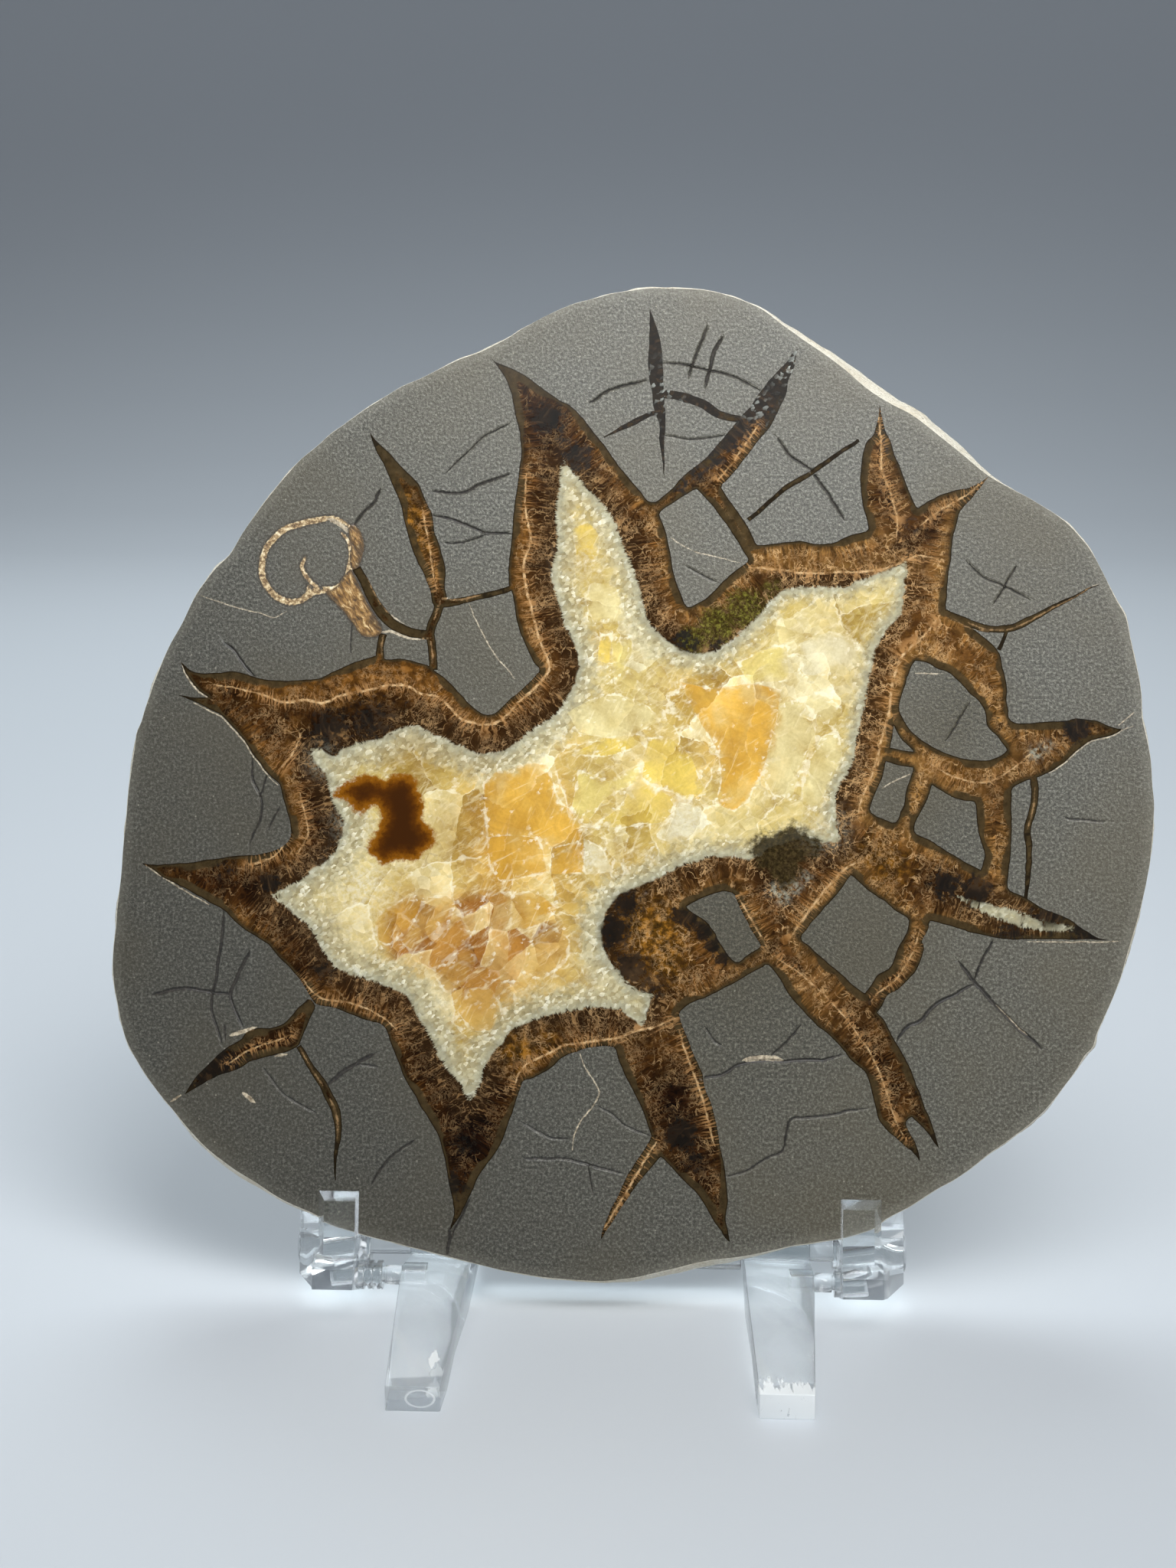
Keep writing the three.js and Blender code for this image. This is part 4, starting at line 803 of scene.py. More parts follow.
keep("face_mm", "FLOAT_VECTOR", "POINT", slice_points)
for name, values in (("wall_mm", wall_mm), ("core_mm", core_mm), ("facet_mm", facet_mm), ("edge_mm", edge_mm),
                     ("shell_mm", shell_mm), ("beyond_seam", beyond_seam),
                     *((name + "_mm", values) for name, values in line_mm.items()), *stain.items()):
    keep(name, "FLOAT", "POINT", on_both(values))
keep("sawn", "FLOAT", "POINT", np.arange(len(slice_points)) >= len(front))
# Across a vein's middle the nearest wall changes, so a triangle there takes one wall point for all three.
FOOT_LEAP_MM = 1.6
foot = wall_foot[triangles]
leap = np.linalg.norm(foot - np.roll(foot, 1, 1), axis=2).max(1) > FOOT_LEAP_MM
foot[leap] = foot[leap][:, :1]
rim_corners = 4 * len(rim_quads)
feet = np.concatenate([foot.reshape(-1, 2), foot[:, ::-1].reshape(-1, 2), np.zeros((rim_corners, 2))])
keep("wall_foot", "FLOAT_VECTOR", "CORNER", np.column_stack([feet, np.zeros(len(feet))]))
tint = np.zeros((len(triangles), 4))
for number, (colour, _) in enumerate(CRYSTALS):
    tint[face_kind == CRYSTAL + number] = srgb(*colour)
tint = np.repeat(tint, 3, axis=0)
keep("crystal", "FLOAT_COLOR", "CORNER", np.concatenate([tint, tint, np.zeros((rim_corners, 4))]))
MUDSTONE_SLOT, FILLING_SLOT, SHELL_SLOT, RIND_SLOT = range(4)
slot_of_kind = np.full(CALCITE + 1, MUDSTONE_SLOT)
slot_of_kind[[VEIN, CALCITE]] = FILLING_SLOT
slot_of_kind[SHELL] = SHELL_SLOT
slots = slot_of_kind[np.minimum(face_kind, CALCITE)]
slice_mesh.polygons.foreach_set("material_index", np.concatenate([slots, slots,
                                                                  np.full(len(rim_quads), RIND_SLOT)]))
slice_mesh.polygons.foreach_set("use_smooth", np.arange(len(slice_mesh.polygons)) >= 2 * len(triangles))
slice_mesh.update()


class Recipe:
    """Adds nodes to a material's or a group's tree. Each call gives back the new node's output socket."""

    def __init__(self, tree):
        self.tree = tree

    def node(self, kind, output=0, inputs=(), **settings):
        node = self.tree.nodes.new("ShaderNode" + kind)
        for name, value in settings.items():
            setattr(node, name, value)
        for key, value in dict(inputs).items():
            if isinstance(value, bpy.types.NodeSocket):
                self.tree.links.new(value, node.inputs[key])
            else:
                node.inputs[key].default_value = value
        return node.outputs[output]

    def wire(self, sockets, **values):
        """Links each value to the socket of its name."""
        for name, value in values.items():
            self.tree.links.new(value, sockets[name.replace("_", " ")])

    def stored(self, name, output="Fac"):
        return self.node("Attribute", output, attribute_name=name)

    def math(self, operation, first, second=0.0, third=0.0):
        return self.node("Math", 0, {0: first, 1: second, 2: third}, operation=operation)

    def times(self, first, second):
        return self.math("MULTIPLY", first, second)

    def times_plus(self, first, second, third):
        return self.math("MULTIPLY_ADD", first, second, third)

    def plus(self, first, second):
        return self.math("ADD", first, second)

    def minus(self, first, second):
        return self.math("SUBTRACT", first, second)

    def one_minus(self, value):
        return self.math("SUBTRACT", 1.0, value)

    def larger(self, first, second):
        return self.math("MAXIMUM", first, second)

    def vector(self, operation, first, second, output=0):
        return self.node("VectorMath", output, {0: first, 1: second}, operation=operation)

    def step(self, value, start, end, low=0.0, high=1.0):
        """low up to start, high from end, and a smooth S between them."""
        return self.node("MapRange", 0, {0: value, 1: start, 2: end, 3: low, 4: high},
                         interpolation_type="SMOOTHSTEP")

    def mix(self, share, first, second, blend="MIX"):
        return self.node("Mix", 2, {0: share, 6: first, 7: second}, data_type="RGBA", blend_type=blend)

    def tint(self, share, first, second):
        return self.mix(share, first, second, "MULTIPLY")

    def blend(self, share, first, second):
        return self.node("Mix", 0, {0: share, 2: first, 3: second}, data_type="FLOAT")

    def noise(self, place, scale, detail=2.0, roughness=0.5, distortion=0.0, output="Fac"):
        return self.node("TexNoise", output, {"Vector": place, "Scale": scale, "Detail": detail,
                                              "Roughness": roughness, "Distortion": distortion})

    def cells(self, place, scale, output="Distance", feature="F1"):
        return self.node("TexVoronoi", output, {"Vector": place, "Scale": scale}, feature=feature)

    def bump(self, shader, height, strength, distance):
        """Feeds the shader's Normal from a height that goes up to that distance in metres."""
        normal = self.node("Bump", 0, {"Height": height, "Strength": strength, "Distance": distance})
        self.wire(shader.inputs, Normal=normal)

    def shaped(self, place, size, turn=0.0):
        """The place turned back by that many degrees and divided by the size, to stretch a pattern."""
        rotation = (0, 0, math.radians(turn))
        return self.node("Mapping", 0, {"Vector": place, "Rotation": rotation, "Scale": size},
                         vector_type="TEXTURE")

    def bent(self, place, scale, amount, read_at=None, detail=2.0):
        """The place pushed aside by a colour noise, so that straight patterns waver. The noise is read at the
        place itself, or at read_at."""
        noise = self.noise(read_at or place, scale, detail, output="Color")
        push = self.vector("SUBTRACT", noise, (0.5, 0.5, 0.5))
        push = self.node("VectorMath", 0, {0: push, "Scale": amount}, operation="SCALE")
        return self.vector("ADD", place, push)

    def tones(self, value, *stops):
        """A ramp between colours, each given as its position and three values from 0 to 255."""
        return self.ramp(value, *((position, srgb(*colour)) for position, *colour in stops))

    def ramp(self, value, *stops):
        node = self.tree.nodes.new("ShaderNodeValToRGB")
        self.tree.links.new(value, node.inputs[0])
        elements = node.color_ramp.elements
        elements[0].position, elements[0].color = stops[0]
        elements[1].position, elements[1].color = stops[-1]
        for position, colour in stops[1:-1]:
            elements.new(position).color = colour
        return node.outputs[0]


def group(name, inputs, outputs):
    """An empty shader node group with these named sockets: floats, vectors or colours."""
    tree = bpy.data.node_groups.new(name, "ShaderNodeTree")
    kinds = {float: "NodeSocketFloat", tuple: "NodeSocketVector", list: "NodeSocketColor"}
    for socket, value in inputs.items():
        made = tree.interface.new_socket(socket, in_out="INPUT", socket_type=kinds[type(value)])
        made.default_value = (*value, 1) if isinstance(value, list) else value
    for socket, kind in outputs.items():
        tree.interface.new_socket(socket, in_out="OUTPUT", socket_type=kinds[kind])
    start = tree.nodes.new("NodeGroupInput")
    end = tree.nodes.new("NodeGroupOutput")
    return Recipe(tree), start.outputs, end.inputs


def placed(recipe, tree, **values):
    """One use of a group in a material, with its own values. Gives back the outputs by name."""
    node = recipe.tree.nodes.new("ShaderNodeGroup")
    node.node_tree = tree
    for name, value in values.items():
        socket = node.inputs[name.replace("_", " ")]
        if isinstance(value, bpy.types.NodeSocket):
            recipe.tree.links.new(value, socket)
        else:
            socket.default_value = value
    return node.outputs


def finish_with(name, **settings):
    """A new material, its recipe and its Principled shader, with constants on the shader's own sockets."""
    material = bpy.data.materials.new(name)
    material.use_nodes = True
    shader = material.node_tree.nodes["Principled BSDF"]
    for socket, value in settings.items():
        shader.inputs[socket.replace("_", " ")].default_value = value
    return material, Recipe(material.node_tree), shader


# Ragged line: a thin vein or crack drawn from the stored distance to it, with a broken edge.
NOWHERE = (0.0, 0.0, 0.0)
r, given, made = group("ragged line", {"Place": NOWHERE, "Distance": 0.0, "Raggedness": 0.08,
                                       "Softness": 0.06}, {"Mask": float})
wobble = r.minus(r.noise(given["Place"], 2.6, 3, 0.6), 0.5)
reach = r.times_plus(wobble, given["Raggedness"], given["Distance"])
low = r.times(given["Softness"], -1.0)
r.wire(made, Mask=r.step(reach, low, given["Softness"], 1.0, 0.0))
ragged_line = r.tree


def ragged(recipe, place, distance, raggedness, softness=0.06):
    """The mask of a ragged line."""
    return placed(recipe, ragged_line, Place=place, Distance=distance, Raggedness=raggedness,
                  Softness=softness)["Mask"]


# Facets: flat-sided crystals packed side by side. Each has its own tone, is painted lighter towards one side
# and darker towards the other (painted light and shade, as a tilted facet would catch), and is striped by
# cleavage in its own direction. Edge is in mm.
r, given, made = group("crystal facets", {"Place": NOWHERE, "Size": 0.6},
                       {"Shade": float, "Slope": float, "Edge": float, "Stripe": float})
spot = r.vector("DIVIDE", given["Place"], given["Size"])
own = r.cells(spot, 1.0, "Color")
shade = r.node("SeparateColor", 0, {0: own})
r.wire(made, Shade=shade)
from_middle = r.vector("SUBTRACT", spot, own.node.outputs["Position"])
lean = r.vector("SUBTRACT", own, (0.5, 0.5, 0.5))
r.wire(made, Slope=r.vector("DOT_PRODUCT", from_middle, lean, "Value"))
edge = r.cells(spot, 1.0, "Distance", "DISTANCE_TO_EDGE")
r.wire(made, Edge=r.times(edge, given["Size"]))
turned = r.node("VectorRotate", 0, {"Vector": spot, "Angle": r.times(shade, 6.0)}, rotation_type="Z_AXIS")
turned = r.vector("MULTIPLY", turned, (0.5, 6.0, 0.5))
r.wire(made, Stripe=r.noise(turned, 1.0, 2, 0.6))
crystal_facets = r.tree

# Fibres: streaks that run straight in from the vein's wall. The noise is read at the wall's nearest point.
r, given, made = group("fibres from the wall", {"Place": NOWHERE, "Wall point": NOWHERE, "Depth": 0.0},
                       {"Fibre": float, "Hair": float})
root = r.bent(given["Wall point"], 0.8, 0.3, read_at=given["Place"], detail=3)
root = r.vector("ADD", root, r.node("CombineXYZ", 0, {2: r.times(given["Depth"], 0.11)}))
r.wire(made, Fibre=r.noise(root, 1.5, 3, 0.6))
r.wire(made, Hair=r.noise(root, 4.4, 2, 0.6))
fibres = r.tree

# Crazing: thin wandering lines, where a noise passes through its middle value.
r, given, made = group("crazing", {"Place": NOWHERE, "Size": 1.0, "Width": 0.03}, {"Mask": float})
spot = r.vector("DIVIDE", given["Place"], given["Size"])
off = r.math("ABSOLUTE", r.minus(r.noise(spot, 1.0, 3, 0.6, 0.6), 0.5))
r.wire(made, Mask=r.step(off, 0.0, given["Width"], 1.0, 0.0))
crazing = r.tree

SAW_MARK_MM = (50, 0.42, 1)


def saw_marks(recipe, place):
    """Long level scratches, only where the stone was left as sawn."""
    return recipe.times(recipe.noise(recipe.shaped(place, SAW_MARK_MM), 1.0, 3), recipe.stored("sawn"))


# Grey mudstone: fine gritty grain with sparse pale specks, sandier towards the rind, with dark open cracks,
# pale filled ones and the tan whorl of the ammonite.
mudstone, r, shader = finish_with("grey mudstone", Roughness=0.3, Specular_IOR_Level=0.5)
place = r.stored("face_mm", "Vector")
grain = r.noise(place, 2.7, 3, 0.8)
tone = r.noise(place, 0.045, 2)
colour = r.tones(grain, (0.32, 44, 42, 35), (0.5, 83, 81, 72), (0.68, 140, 138, 127))
colour = r.mix(r.step(tone, 0.35, 0.7, 0.0, 0.4), colour, srgb(92, 84, 64))
sandy = r.times(r.step(r.stored("edge_mm"), 1.8, 0.1), r.step(r.noise(place, 0.5, 3), 0.2, 0.75, 0.25, 0.8))
colour = r.mix(r.times(sandy, 0.4), colour, srgb(144, 140, 127))
# Painted shade: the mudstone darkens towards the lower left, where less light falls on the face.
spot = r.node("SeparateXYZ", 0, {0: place})
painted_shade_axis = r.times_plus(spot.node.outputs["Y"], 0.5, spot)
colour = r.tint(1.0, colour, r.step(painted_shade_axis, -75.0, 15.0, 0.6, 0.96))
colour = r.tint(r.stored("shade"), colour, (0.58, 0.54, 0.42, 1))
rare = r.node("SeparateColor", 0, {0: r.cells(place, 0.9, "Color")})
speck = r.times(r.step(r.cells(place, 0.9), 0.14, 0.05), r.step(rare, 0.8, 0.84))
colour = r.mix(r.times(speck, 0.5), colour, srgb(172, 166, 150))
whorl = r.stored("whorl_mm")
ribs = r.noise(r.bent(place, 1.2, 0.4), 1.6, 3, 0.65)
outline = r.larger(r.step(whorl, 0.4, 0.12), r.step(r.stored("shell_mm"), 0.4, 0.1))
colour = r.mix(r.times(outline, r.step(ribs, 0.4, 0.52, 0.3, 0.9)), colour, srgb(48, 38, 26))
shell = r.tones(ribs, (0.34, 66, 48, 28), (0.46, 136, 108, 70), (0.58, 206, 184, 142),
               (0.7, 236, 224, 196))
on_whorl = ragged(r, place, whorl, 0.4)
colour = r.mix(on_whorl, colour, shell)
crack = r.minus(r.stored("crack_mm"), 0.02)
cracked = ragged(r, place, crack, 0.26)
colour = r.mix(cracked, colour, r.tones(grain, (0.4, 26, 23, 19), (0.65, 58, 52, 44)))
filled = ragged(r, place, r.stored("pale_mm"), 0.34)
colour = r.mix(filled, colour, r.tones(ribs, (0.35, 112, 97, 76), (0.62, 206, 192, 166)))
r.wire(shader.inputs, Base_Color=colour)
dull = r.times_plus(grain, 0.16, r.times_plus(r.stored("sawn"), 0.25, 0.3))
r.wire(shader.inputs, Roughness=dull)
height = r.times_plus(saw_marks(r, place), 1.0, r.times(grain, 1.2))
height = r.times_plus(cracked, -1.2, height)
r.bump(shader, height, 0.6, 0.0001)

# The veins' filling: brown aragonite in bands from the wall inwards, and calcite beyond a hairy edge.
filling_look, r, shader = finish_with("aragonite and calcite", Roughness=0.16, Specular_IOR_Level=0.13)
place = r.stored("face_mm", "Vector")
wall = r.stored("wall_mm")
core = r.stored("core_mm")
grown = placed(r, fibres, Place=place, Wall_point=r.stored("wall_foot", "Vector"), Depth=wall)
fibre, hair = grown["Fibre"], grown["Hair"]
mottle = r.noise(place, 0.9, 4, 0.65)
regions = r.noise(place, 0.13, 2)
in_band = r.plus(wall, r.times_plus(mottle, 1.4, -0.7))
brown = r.tones(r.math("DIVIDE", in_band, 6.0),
               (0.0, 56, 42, 24), (0.08, 92, 68, 38), (0.18, 122, 90, 50),
               (0.34, 118, 84, 46), (0.55, 92, 62, 32), (1.0, 70, 46, 22))
streak = r.ramp(hair, (0.36, (0.4, 0.38, 0.35, 1)), (0.5, (0.86, 0.85, 0.83, 1)), (0.62, (1.5, 1.5, 1.5, 1)),
                (0.7, (2.1, 2.15, 2.2, 1)))
beyond = r.stored("beyond_seam")
outer = r.times(r.step(beyond, 0.2, -0.2), r.step(r.stored("seam_mm"), 2.6, 0.6))
brown = r.tint(r.minus(r.step(wall, 0.2, 0.9, 0.3, 1.0), r.times(outer, 0.45)), brown, streak)
brown = r.tint(1.0, brown, r.ramp(fibre, (0.36, (0.5, 0.47, 0.44, 1)), (0.62, (1.4, 1.38, 1.34, 1))))
golden = r.tones(mottle, (0.34, 72, 47, 20), (0.5, 118, 82, 38), (0.66, 164, 124, 68))
in_spike = r.minus(r.step(core, -4.5, -12.0, 0.0, 0.8), r.stored("tan"))
dark = r.larger(r.stored("deep"), in_spike)
outer = r.times(outer, r.one_minus(r.times(dark, 0.8)))
brown = r.mix(r.times(outer, r.step(wall, 0.6, 1.6, 0.1, 0.6)), brown, golden)
inner = r.times(r.step(beyond, -0.1, 0.5), r.step(core, 0.0, -0.3))
brown = r.tint(r.times(inner, 0.5), brown, (0.5, 0.44, 0.40, 1))
across = r.node("SeparateXYZ", 0, {0: place})
aside = r.step(across, -25.0, 30.0)
brown = r.tint(1.0, brown, r.mix(aside, (0.5, 0.43, 0.31, 1), (0.92, 0.91, 0.84, 1)))
below = r.step(across.node.outputs["Y"], -24.0, -38.0)
brown = r.tint(below, brown, (0.62, 0.58, 0.55, 1))
brown = r.tint(r.times(dark, 0.9), brown, (0.24, 0.19, 0.17, 1))
deep_side = r.step(r.plus(core, r.times(hair, 2.4)), -2.4, 0.4)
deep_side = r.times(deep_side, r.times_plus(r.stored("tan"), -0.8, 1.0))
brown = r.mix(r.times(deep_side, 0.66), brown, srgb(46, 30, 14))
hairs = r.times(r.step(core, -3.6, -1.4), r.step(hair, 0.55, 0.66))
brown = r.mix(r.times(hairs, 0.42), brown, srgb(170, 132, 86))
brown = r.mix(r.times(r.stored("rust"), 0.8), brown,
              r.tones(mottle, (0.36, 54, 32, 9), (0.5, 92, 58, 19), (0.64, 146, 98, 42)))
brown = r.mix(r.times(r.stored("amber"), 0.85), brown,
              r.tones(mottle, (0.36, 44, 32, 10), (0.5, 96, 64, 18), (0.62, 172, 118, 42)))
craze = placed(r, crazing, Place=place, Size=1.5, Width=0.035)["Mask"]
fine_craze = placed(r, crazing, Place=place, Size=0.62, Width=0.06)["Mask"]
threads = r.times(craze, r.step(r.noise(place, 0.45, 2), 0.4, 0.6))
threads = r.larger(threads, r.times(fine_craze, r.step(r.noise(place, 0.3, 2), 0.42, 0.62, 0.0, 0.6)))
threads = r.times(threads, r.step(r.stored("black"), 0.7, 0.2))
threads = r.times(threads, r.step(wall, 0.5, 1.0, 0.2, 1.0))
threads = r.times(threads, r.times_plus(aside, 0.42, 0.46))
threads = r.times(threads, r.times_plus(dark, -0.5, 1.0))
brown = r.mix(threads, brown, srgb(196, 158, 110))
olive = r.plus(placed(r, crystal_facets, Place=r.bent(place, 1.8, 1.4), Size=0.8)["Edge"],
               r.times_plus(r.noise(place, 2.0, 3), 0.5, -0.25))
honeycomb = r.tones(olive, (0.0, 46, 36, 14), (0.14, 78, 73, 26), (0.34, 120, 116, 46))
green = r.plus(r.stored("green"), r.times_plus(mottle, 0.8, -0.4))
brown = r.mix(r.step(green, 0.25, 0.75, 0.0, 0.85), brown, honeycomb)
glassy = r.times_plus(r.step(regions, 0.46, 0.55), 0.72, 0.42)
dark_wall = r.step(r.minus(r.times_plus(mottle, 0.3, wall), glassy), 0.2, -0.06)
brown = r.mix(r.times(dark_wall, 0.86), brown, r.tones(mottle, (0.3, 44, 35, 20), (0.7, 74, 61, 38)))
brown = r.mix(r.step(wall, 0.24, 0.04, 0.0, 0.85), brown, srgb(26, 20, 13))
inky = r.times_plus(r.noise(place, 1.1, 4, 0.7), 2.6, r.minus(r.stored("black"), 1.3))
inky = r.times(r.step(inky, 0.25, 0.7), r.step(r.stored("black"), 0.08, 0.4))
brown = r.mix(r.times(inky, 0.92), brown,
              r.tones(fibre, (0.4, 14, 11, 7), (0.56, 28, 20, 11), (0.68, 60, 44, 27)))
seam = ragged(r, place, r.stored("seam_mm"), 0.7, 0.1)
seam_shade = r.noise(place, 1.3, 3, 0.65)
brown = r.mix(r.times(seam, r.step(seam_shade, 0.36, 0.56, 0.3, 0.9)), brown,
              r.tones(seam_shade, (0.4, 148, 108, 64), (0.62, 222, 188, 140)))
fringe = r.times(r.step(r.stored("seam_mm"), 1.3, 0.1), r.step(hair, 0.5, 0.62))
brown = r.mix(r.times(fringe, 0.6), brown, srgb(176, 132, 84))
filled = ragged(r, place, r.stored("pale_mm"), 0.5, 0.08)
brown = r.mix(r.times(filled, r.step(mottle, 0.4, 0.6, 0.2, 0.9)), brown, srgb(150, 120, 84))

frost = r.times(r.stored("frost"), r.step(r.noise(place, 1.6, 4, 0.7), 0.4, 0.62))
jagged = r.bent(place, 2.2, 0.25)
blocks = placed(r, crystal_facets, Place=r.shaped(r.bent(place, 0.3, 1.2), (1.5, 1.0, 1), 52), Size=2.9)
plates = r.shaped(r.bent(r.bent(place, 0.22, 2.6), 1.2, 0.6), (1.4, 1.0, 1), 62)
plates = placed(r, crystal_facets, Place=plates, Size=6.8)
shards = placed(r, crystal_facets, Place=r.shaped(jagged, (1.5, 1.0, 1), -35), Size=1.2)
grains = placed(r, crystal_facets, Place=r.shaped(jagged, (1.35, 0.9, 1), 35), Size=0.46)
warm, in_mosaic = r.stored("warm"), r.step(r.stored("mosaic"), 0.25, 0.6)
on_crystal = r.stored("crystal", "Alpha")
shade = r.plus(r.times(plates["Shade"], 0.8), r.times(shards["Shade"], 0.2))
pale = r.tones(shade, (0.15, 188, 162, 88), (0.42, 208, 185, 116), (0.7, 222, 204, 146),
              (0.88, 234, 224, 184))
gold = r.tones(shade, (0.15, 188, 134, 50), (0.5, 208, 158, 68), (0.85, 222, 186, 106))
mosaic = r.tones(blocks["Shade"], (0.08, 136, 84, 34), (0.35, 170, 114, 50), (0.65, 192, 142, 70),
                (0.9, 216, 184, 122))
clear = r.mix(in_mosaic, r.mix(warm, pale, gold), mosaic)
on_crystal = r.times(on_crystal, r.one_minus(r.times(in_mosaic, 0.4)))
feather = r.times_plus(r.minus(r.noise(place, 0.45, 3), 0.5), 5.0, r.stored("facet_mm"))
on_crystal = r.times(on_crystal, r.step(feather, -0.5, 0.9, 0.25, 1.0))
depth_of_colour = r.step(r.noise(place, 0.28, 2), 0.3, 0.62, 0.45, 0.95)
clear = r.mix(r.times(on_crystal, depth_of_colour), clear, r.stored("crystal", "Color"))

# Painted light and shade on the calcite: each plate or block is lighter on one side and darker on the other,
# mixed with random tone.
slope = r.blend(in_mosaic, plates["Slope"], blocks["Slope"])
tone_and_painted_light = r.times_plus(slope, r.minus(0.7, r.times(on_crystal, 0.25)), 1.0)
tone_and_painted_light = r.times_plus(shards["Slope"], r.minus(0.5, r.times(on_crystal, 0.35)), tone_and_painted_light)
tone_and_painted_light = r.times_plus(r.minus(r.noise(place, 0.2, 2), 0.5), 0.9, tone_and_painted_light)
tone_and_painted_light = r.times_plus(r.minus(blocks["Stripe"], 0.5), 0.35, tone_and_painted_light)
tone_and_painted_light = r.times_plus(r.minus(r.noise(place, 2.4, 4, 0.7), 0.5), 0.45, tone_and_painted_light)
tone_and_painted_light = r.ramp(r.times(tone_and_painted_light, 0.425), (0.2, (0.46, 0.36, 0.20, 1)), (0.44, (0.90, 0.90, 0.88, 1)),
                (0.8, (1.6, 1.66, 1.86, 1)))
clear = r.tint(1.0, clear, tone_and_painted_light)
veil = r.noise(r.shaped(r.bent(place, 0.3, 1.5), (2.9, 0.6, 1), 35), 1.0, 4, 0.65)
veiled = r.times(r.step(veil, 0.5, 0.72, 0.0, 0.5), r.one_minus(on_crystal))
clear = r.mix(veiled, clear, srgb(242, 230, 188))
steep = r.step(r.noise(r.shaped(r.bent(place, 0.2, 0.8), (9, 0.4, 1), 66), 1.0, 2), 0.56, 0.7)
gentle = r.step(r.noise(r.shaped(r.bent(place, 0.2, 0.8), (7, 0.5, 1), 28), 1.0, 2), 0.56, 0.72)
cleaved = r.mix(r.step(r.noise(place, 0.22, 1), 0.46, 0.54), steep, gentle)
cleaved = r.times(cleaved, r.step(r.noise(place, 0.3, 2), 0.4, 0.6))
clear = r.mix(r.times(cleaved, 0.32), clear, srgb(250, 240, 200))
wavering = r.times_plus(r.noise(place, 0.7, 3, 0.6), 1.2, -0.38)
block_edge = r.blend(in_mosaic, plates["Edge"], blocks["Edge"])
block_line = r.step(r.minus(r.plus(block_edge, 0.12), wavering), 0.1, -0.1)
# Pale edges of the blocks, drawn only on their painted lit side, as painted highlights.
lit = r.step(r.plus(slope, r.noise(place, 0.5, 2)), 0.42, 0.66)
block_line = r.times(r.times(block_line, lit), r.minus(0.9, r.times(on_crystal, 0.7)))
shard_line = r.step(r.minus(r.plus(shards["Edge"], 0.2), wavering), 0.06, -0.06)
shard_line = r.times(shard_line, r.minus(0.2, r.times(on_crystal, 0.18)))
shard_line = r.times(shard_line, r.one_minus(r.times(in_mosaic, 0.8)))
crystal_line = r.step(r.minus(r.plus(r.stored("facet_mm"), 0.12), wavering), 0.08, -0.1)
crystal_line = r.times(crystal_line, r.step(r.noise(place, 0.4, 2), 0.4, 0.6, 0.1, 0.9))
lines = r.larger(r.larger(block_line, shard_line), crystal_line)
lines = r.times(lines, r.times_plus(in_mosaic, -0.3, 0.62))
clear = r.mix(lines, clear, srgb(246, 240, 214))
# Bright white chips of calcite, kept to the painted lit side of each grain.
chipped = r.times(r.step(grains["Shade"], 0.78, 0.84), r.step(grains["Slope"], -0.1, 0.12, 0.4, 1.0))
chip_zone = r.plus(r.step(r.stored("facet_mm"), 0.9, 0.2, 0.0, 0.16), r.noise(place, 0.35, 3))
chip_zone = r.step(chip_zone, 0.56, 0.68)
clear = r.mix(r.times(r.times(chipped, chip_zone), 0.45), clear, srgb(252, 248, 228))
clear = r.mix(frost, clear, srgb(230, 226, 210))
sugar = r.tones(grains["Shade"], (0.05, 152, 139, 102), (0.4, 173, 161, 125), (0.75, 190, 180, 145),
               (0.95, 212, 204, 174))
# Painted light and shade: each grain of the sugary rim is lighter on one side and darker on the other.
sugar = r.tint(1.0, sugar, r.times_plus(grains["Slope"], 0.4, r.times_plus(shards["Slope"], 0.5, 1.0)))
sugar = r.mix(r.times(r.step(r.noise(place, 1.3, 3, 0.65), 0.5, 0.36), 0.4), sugar, srgb(158, 148, 110))
glitter = r.times(chipped, r.step(r.noise(place, 0.6, 2), 0.44, 0.66, 0.04, 0.6))
sugar = r.mix(glitter, sugar, srgb(244, 240, 220))
in_rim = r.times_plus(mottle, 5.0, r.times_plus(aside, 1.7, -2.9))
in_rim = r.step(r.plus(core, in_rim), 4.4, 1.3)
in_rim = r.times(in_rim, r.one_minus(r.times(on_crystal, 0.7)))
calcite_colour = r.mix(in_rim, clear, sugar)
calcite_colour = r.tint(r.stored("dusky"), calcite_colour, (0.70, 0.60, 0.46, 1))
greyed = r.step(r.plus(core, r.times_plus(hair, 2.2, -1.1)), 1.5, 0.1)
calcite_colour = r.mix(r.times(greyed, 0.62), calcite_colour,
                       r.tones(mottle, (0.3, 124, 122, 102), (0.7, 178, 178, 158)))
blot = r.plus(r.stored("blot"), r.times_plus(r.noise(place, 1.1, 4, 0.7), 2.2, -1.1))
calcite_colour = r.mix(r.step(blot, -0.35, 0.35), calcite_colour,
                       r.tones(r.step(blot, 0.0, 2.2), (0.0, 134, 82, 14), (0.5, 84, 45, 6),
                              (1.0, 58, 30, 6)))
black_in = r.plus(r.stored("black"), r.times_plus(mottle, 0.5, -0.25))
calcite_colour = r.mix(r.step(black_in, 0.3, 0.75, 0.0, 0.95), calcite_colour, srgb(48, 42, 26))
over_edge = r.plus(core, r.times_plus(hair, 1.5, -0.78))
into_calcite = r.step(over_edge, -0.2, 0.14)
colour = r.mix(into_calcite, brown, calcite_colour)
spotted = r.plus(r.stored("olive"), r.times_plus(r.noise(place, 1.0, 4, 0.7), 1.5, -0.75))
colour = r.mix(r.step(spotted, 0.3, 0.8, 0.0, 0.94), colour,
               r.tones(r.noise(place, 1.7, 4, 0.7), (0.36, 28, 22, 9), (0.5, 44, 35, 17),
                      (0.66, 76, 63, 35)))
